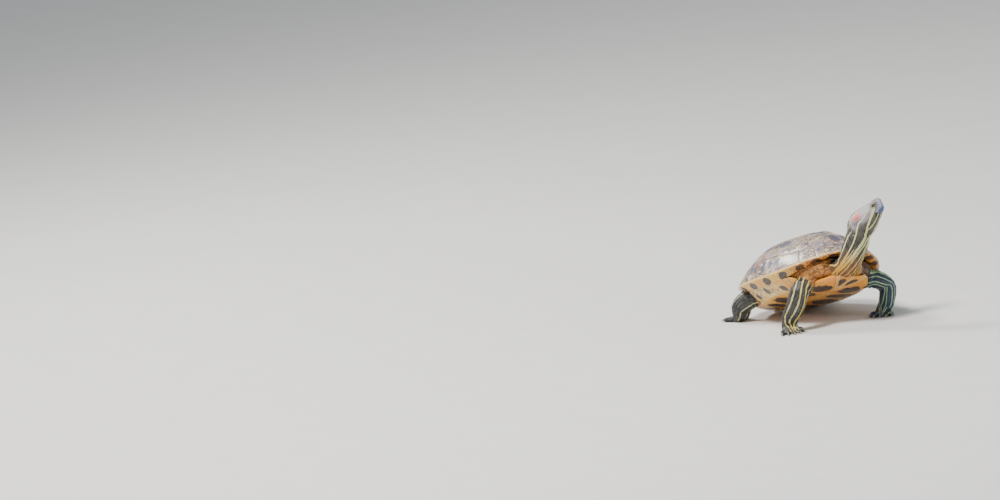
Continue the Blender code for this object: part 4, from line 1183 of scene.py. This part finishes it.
# The grooves between the scales are painted darker: painted shade in the grooves.
between = times(sum_of("SUBTRACT", 1.0, bumps), times_plus(scaled, 0.30, 0.06))
colour = tint(between, colour, (0.020, 0.018, 0.016))
smooth_part = sum_of("SUBTRACT", 1.0, beak_share)
smooth_part = times(smooth_part, times_plus(face, -0.88, 1.0))
height = times_plus(times(bumps, smooth_part), 1.0, times(fine, 0.25))
rough = times_plus(fine, 0.20, 0.38)
rough = times_plus(beak_share, -0.12, rough)
dress(surface, colour, rough, height, 0.00026)
melted.materials.append(skin_finish)
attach(skin, "root")
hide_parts("trunk", "neck", "head", "tail", "upper_arm_left", "upper_arm_right", "forearm_left",
            "forearm_right", "forefoot_left", "forefoot_right", "thigh_left", "thigh_right", "shank_left",
            "shank_right", "hindfoot_left", "hindfoot_right")


# ---- Eyes ------------------------------------------------------------------------------------------------
# Each eye is a ball set in a socket behind the lids: a yellow-green iris round a black pupil, crossed from
# corner to corner by the dark bar that carries on the stripe behind it, under a clear wet surface.
def eyeball(side):
    """A ball on the head's own axes: circles about the way it looks, from the middle of the pupil to the
    back, with a low bulge over the pupil. With it come each point's angle from that way and its height."""
    ahead, left, up = head_axes()
    looks = unit(left * side * 0.93 + ahead * 0.30 + up * 0.10)
    level = unit(ahead - looks * (ahead @ looks))
    high = np.cross(level, looks) * side
    open_angle = np.linspace(0.03, np.pi - 0.03, 64)[:, None]
    round_angle = np.linspace(0, 2 * np.pi, 72, endpoint=False)
    bulge = 1 + 0.04 * bell(open_angle, 0, 0.40)
    middle = HEAD_ROOT + ahead * EYE_AHEAD + left * (side * EYE_OUT) + up * EYE_UP
    ball = (middle + EYE_RADIUS * bulge[..., None] * (np.cos(open_angle)[..., None] * looks
            + (np.sin(open_angle) * np.cos(round_angle))[..., None] * level
            + (np.sin(open_angle) * np.sin(round_angle))[..., None] * high))
    return ball, open_angle + 0 * round_angle, np.sin(open_angle) * np.sin(round_angle)


eye_finish, tree, surface = new_finish("eye", gloss_coat=1.0, coat_roughness=0.03)
open_way, bar_way = marked("open_angle"), marked("bar")
rays = grain(0.0004, 2)
iris = tint(fade(rays, 0.35, 0.70), (0.120, 0.150, 0.022), (0.340, 0.340, 0.080))
iris = tint(fade(open_way, 0.74, 0.90), iris, (0.040, 0.040, 0.020))
iris = tint(fade(sum_of("ABSOLUTE", bar_way), 0.20, 0.13), iris, (0.030, 0.028, 0.022))
iris = tint(fade(open_way, 0.38, 0.33), iris, (0.004, 0.004, 0.005))
tree.links.new(iris, surface.inputs["Base Color"])
tree.links.new(times_plus(rays, 0.05, 0.12), surface.inputs["Roughness"])
for eye_name, side in (("eye_left", 1), ("eye_right", -1)):
    ball, opening, bar_height = eyeball(side)
    eye = closed_piece(eye_name + "_ball", onto_floor(ball))
    mark(eye, "open_angle", opening)
    mark(eye, "bar", bar_height)
    eye.data.materials.append(eye_finish)
    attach(eye, "root")
    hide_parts(eye_name)


# ---- Claws -----------------------------------------------------------------------------------------------
# Each toe but the outer hind one ends in a curved claw of dark horn, paler at its tip: five on a front foot
# and four on a hind one. It grows out of the end of the toe and bends down to the ground.
CLAW_LENGTHS = {"fore": 0.0064, "hind": 0.0052}
CLAW_WIDTHS = (0.0024, 0.0025, 0.0019, 0.0012, 0.0003)
CLAW_DEPTHS = (0.0026, 0.0028, 0.0021, 0.0012, 0.0003)
CLAW_RINGS, CLAW_AROUND = 22, 12
claw_finish, tree, surface = new_finish("claw_horn", gloss_coat=0.3, coat_roughness=0.2)
streaks = grain(0.0009, 2, stretch=(1, 1, 0.4))
colour = tint(fade(marked("to_tip"), 0.25, 0.95), (0.060, 0.050, 0.040), (0.420, 0.360, 0.260))
colour = tint(fade(streaks, 0.45, 0.70, 0.0, 0.5), colour, (0.025, 0.020, 0.018))
dress(surface, colour, times_plus(streaks, 0.15, 0.25), streaks, 0.00008)
for name in FEET:
    reach = CLAW_LENGTHS[name[:4]]
    claws = []
    for number, root, heading, sideways, far in toe_paths(name):
        if "hind" in name and number == (2 if "left" in name else -2):
            continue
        start = root + heading * far + TOE_DROOP + (0, 0, 0.0006)
        path = np.array([start - heading * 0.0016, start + heading * reach * 0.35 + (0, 0, 0.0004),
                         start + heading * reach * 0.70 - (0, 0, 0.0003),
                         start + heading * reach * 0.95 - (0, 0, 0.0018)])
        path[:, 2] = np.maximum(path[:, 2], 0.0003)
        claws.append(limb_grid(path, CLAW_WIDTHS, CLAW_DEPTHS, sideways, CLAW_RINGS, CLAW_AROUND))
    claw_set = closed_piece("claws_" + name, *claws)
    tip_share = np.repeat(np.linspace(0, 1, CLAW_RINGS), CLAW_AROUND)
    mark(claw_set, "to_tip", np.concatenate([np.append(tip_share, (0.0, 1.0))] * len(claws)))
    lift_to_floor(claw_set.data)
    claw_set.data.materials.append(claw_finish)
    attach(claw_set, "root")


# ---- Floor, light and camera -----------------------------------------------------------------------------
# A plain pale floor under an even pale sky, one soft lamp high over the turtle's right side, a wide fill from
# ahead, a smaller lamp behind, and a long lens level with a person sitting by the water.
FLOOR_REACH = 8.0
corners = [(x * FLOOR_REACH, y * FLOOR_REACH, 0) for x, y in ((-1, -1), (1, -1), (1, 1), (-1, 1))]
floor_mesh = bpy.data.meshes.new("floor")
floor_mesh.from_pydata(corners, [], [(0, 1, 2, 3)])
floor = put_in("floor", floor_mesh)
floor_finish, tree, surface = new_finish("pale_floor")
speckle = grain(0.05, 3)
floor_colour = tint(fade(speckle, 0.3, 0.7), (0.745, 0.742, 0.730), (0.765, 0.762, 0.750))
tree.links.new(floor_colour, surface.inputs["Base Color"])
surface.inputs["Roughness"].default_value = 0.75
floor_mesh.materials.append(floor_finish)

sky = bpy.data.worlds.new("studio")
sky.use_nodes = True
glow = sky.node_tree.nodes["Background"]
glow.inputs["Color"].default_value = (0.86, 0.90, 0.95, 1.0)
glow.inputs["Strength"].default_value = 0.42
bpy.context.scene.world = sky


def lamp(name, place_at, aim, size, power, colour):
    """A round soft lamp of a size in metres, turned to shine at a point."""
    light = bpy.data.lights.new(name, "AREA")
    light.shape, light.size, light.energy, light.color = "DISK", size, power, colour
    stand = put_in(name, light)
    stand.location = place_at
    stand.rotation_euler = (Vector(aim) - Vector(place_at)).to_track_quat("-Z", "Y").to_euler()


lamp("key_lamp", (0.35, -1.35, 2.30), (0.0, 0.0, 0.05), 0.7, 92.0, (1.0, 0.965, 0.91))
lamp("fill_lamp", (2.2, 0.9, 1.0), (0.0, 0.0, 0.06), 1.6, 17.0, (0.88, 0.94, 1.0))
lamp("back_lamp", (-1.55, -0.45, 1.60), (0.0, 0.0, 0.06), 0.55, 38.0, (1.0, 0.98, 0.95))

CAMERA_ROUND, CAMERA_RISE, CAMERA_ROLL = np.radians((54.40, 10.5, -7.0))
CAMERA_FAR = 10.0                       # metres from the shell's middle
VIEW_WIDTH = 1.1543                     # metres across the view, that far away
FILM_WIDTH = 36                         # millimetres
AIM_BESIDE, AIM_OVER = np.arctan((0.03596, 0.00349))      # how far past the shell's middle the lens points
to_camera = np.array((np.sin(CAMERA_ROUND) * np.cos(CAMERA_RISE), -np.cos(CAMERA_ROUND) * np.cos(CAMERA_RISE),
                      np.sin(CAMERA_RISE)))
level_right = np.array((np.cos(CAMERA_ROUND), np.sin(CAMERA_ROUND), 0.0))
level_up = np.cross(to_camera, level_right)
camera_right = np.cos(CAMERA_ROLL) * level_right + np.sin(CAMERA_ROLL) * level_up
camera_up = -np.sin(CAMERA_ROLL) * level_right + np.cos(CAMERA_ROLL) * level_up
aimed = (Matrix(np.stack([camera_right, camera_up, to_camera], axis=1).tolist())
         @ Matrix.Rotation(AIM_BESIDE, 3, "Y") @ Matrix.Rotation(AIM_OVER, 3, "X"))
lens = bpy.data.cameras.new("camera")
lens.lens = FILM_WIDTH * CAMERA_FAR / VIEW_WIDTH
lens.clip_end = 100
camera = put_in("camera", lens)
camera.matrix_world = Matrix.Translation(SHELL_CENTRE + to_camera * CAMERA_FAR) @ aimed.to_4x4()
bpy.context.scene.camera = camera
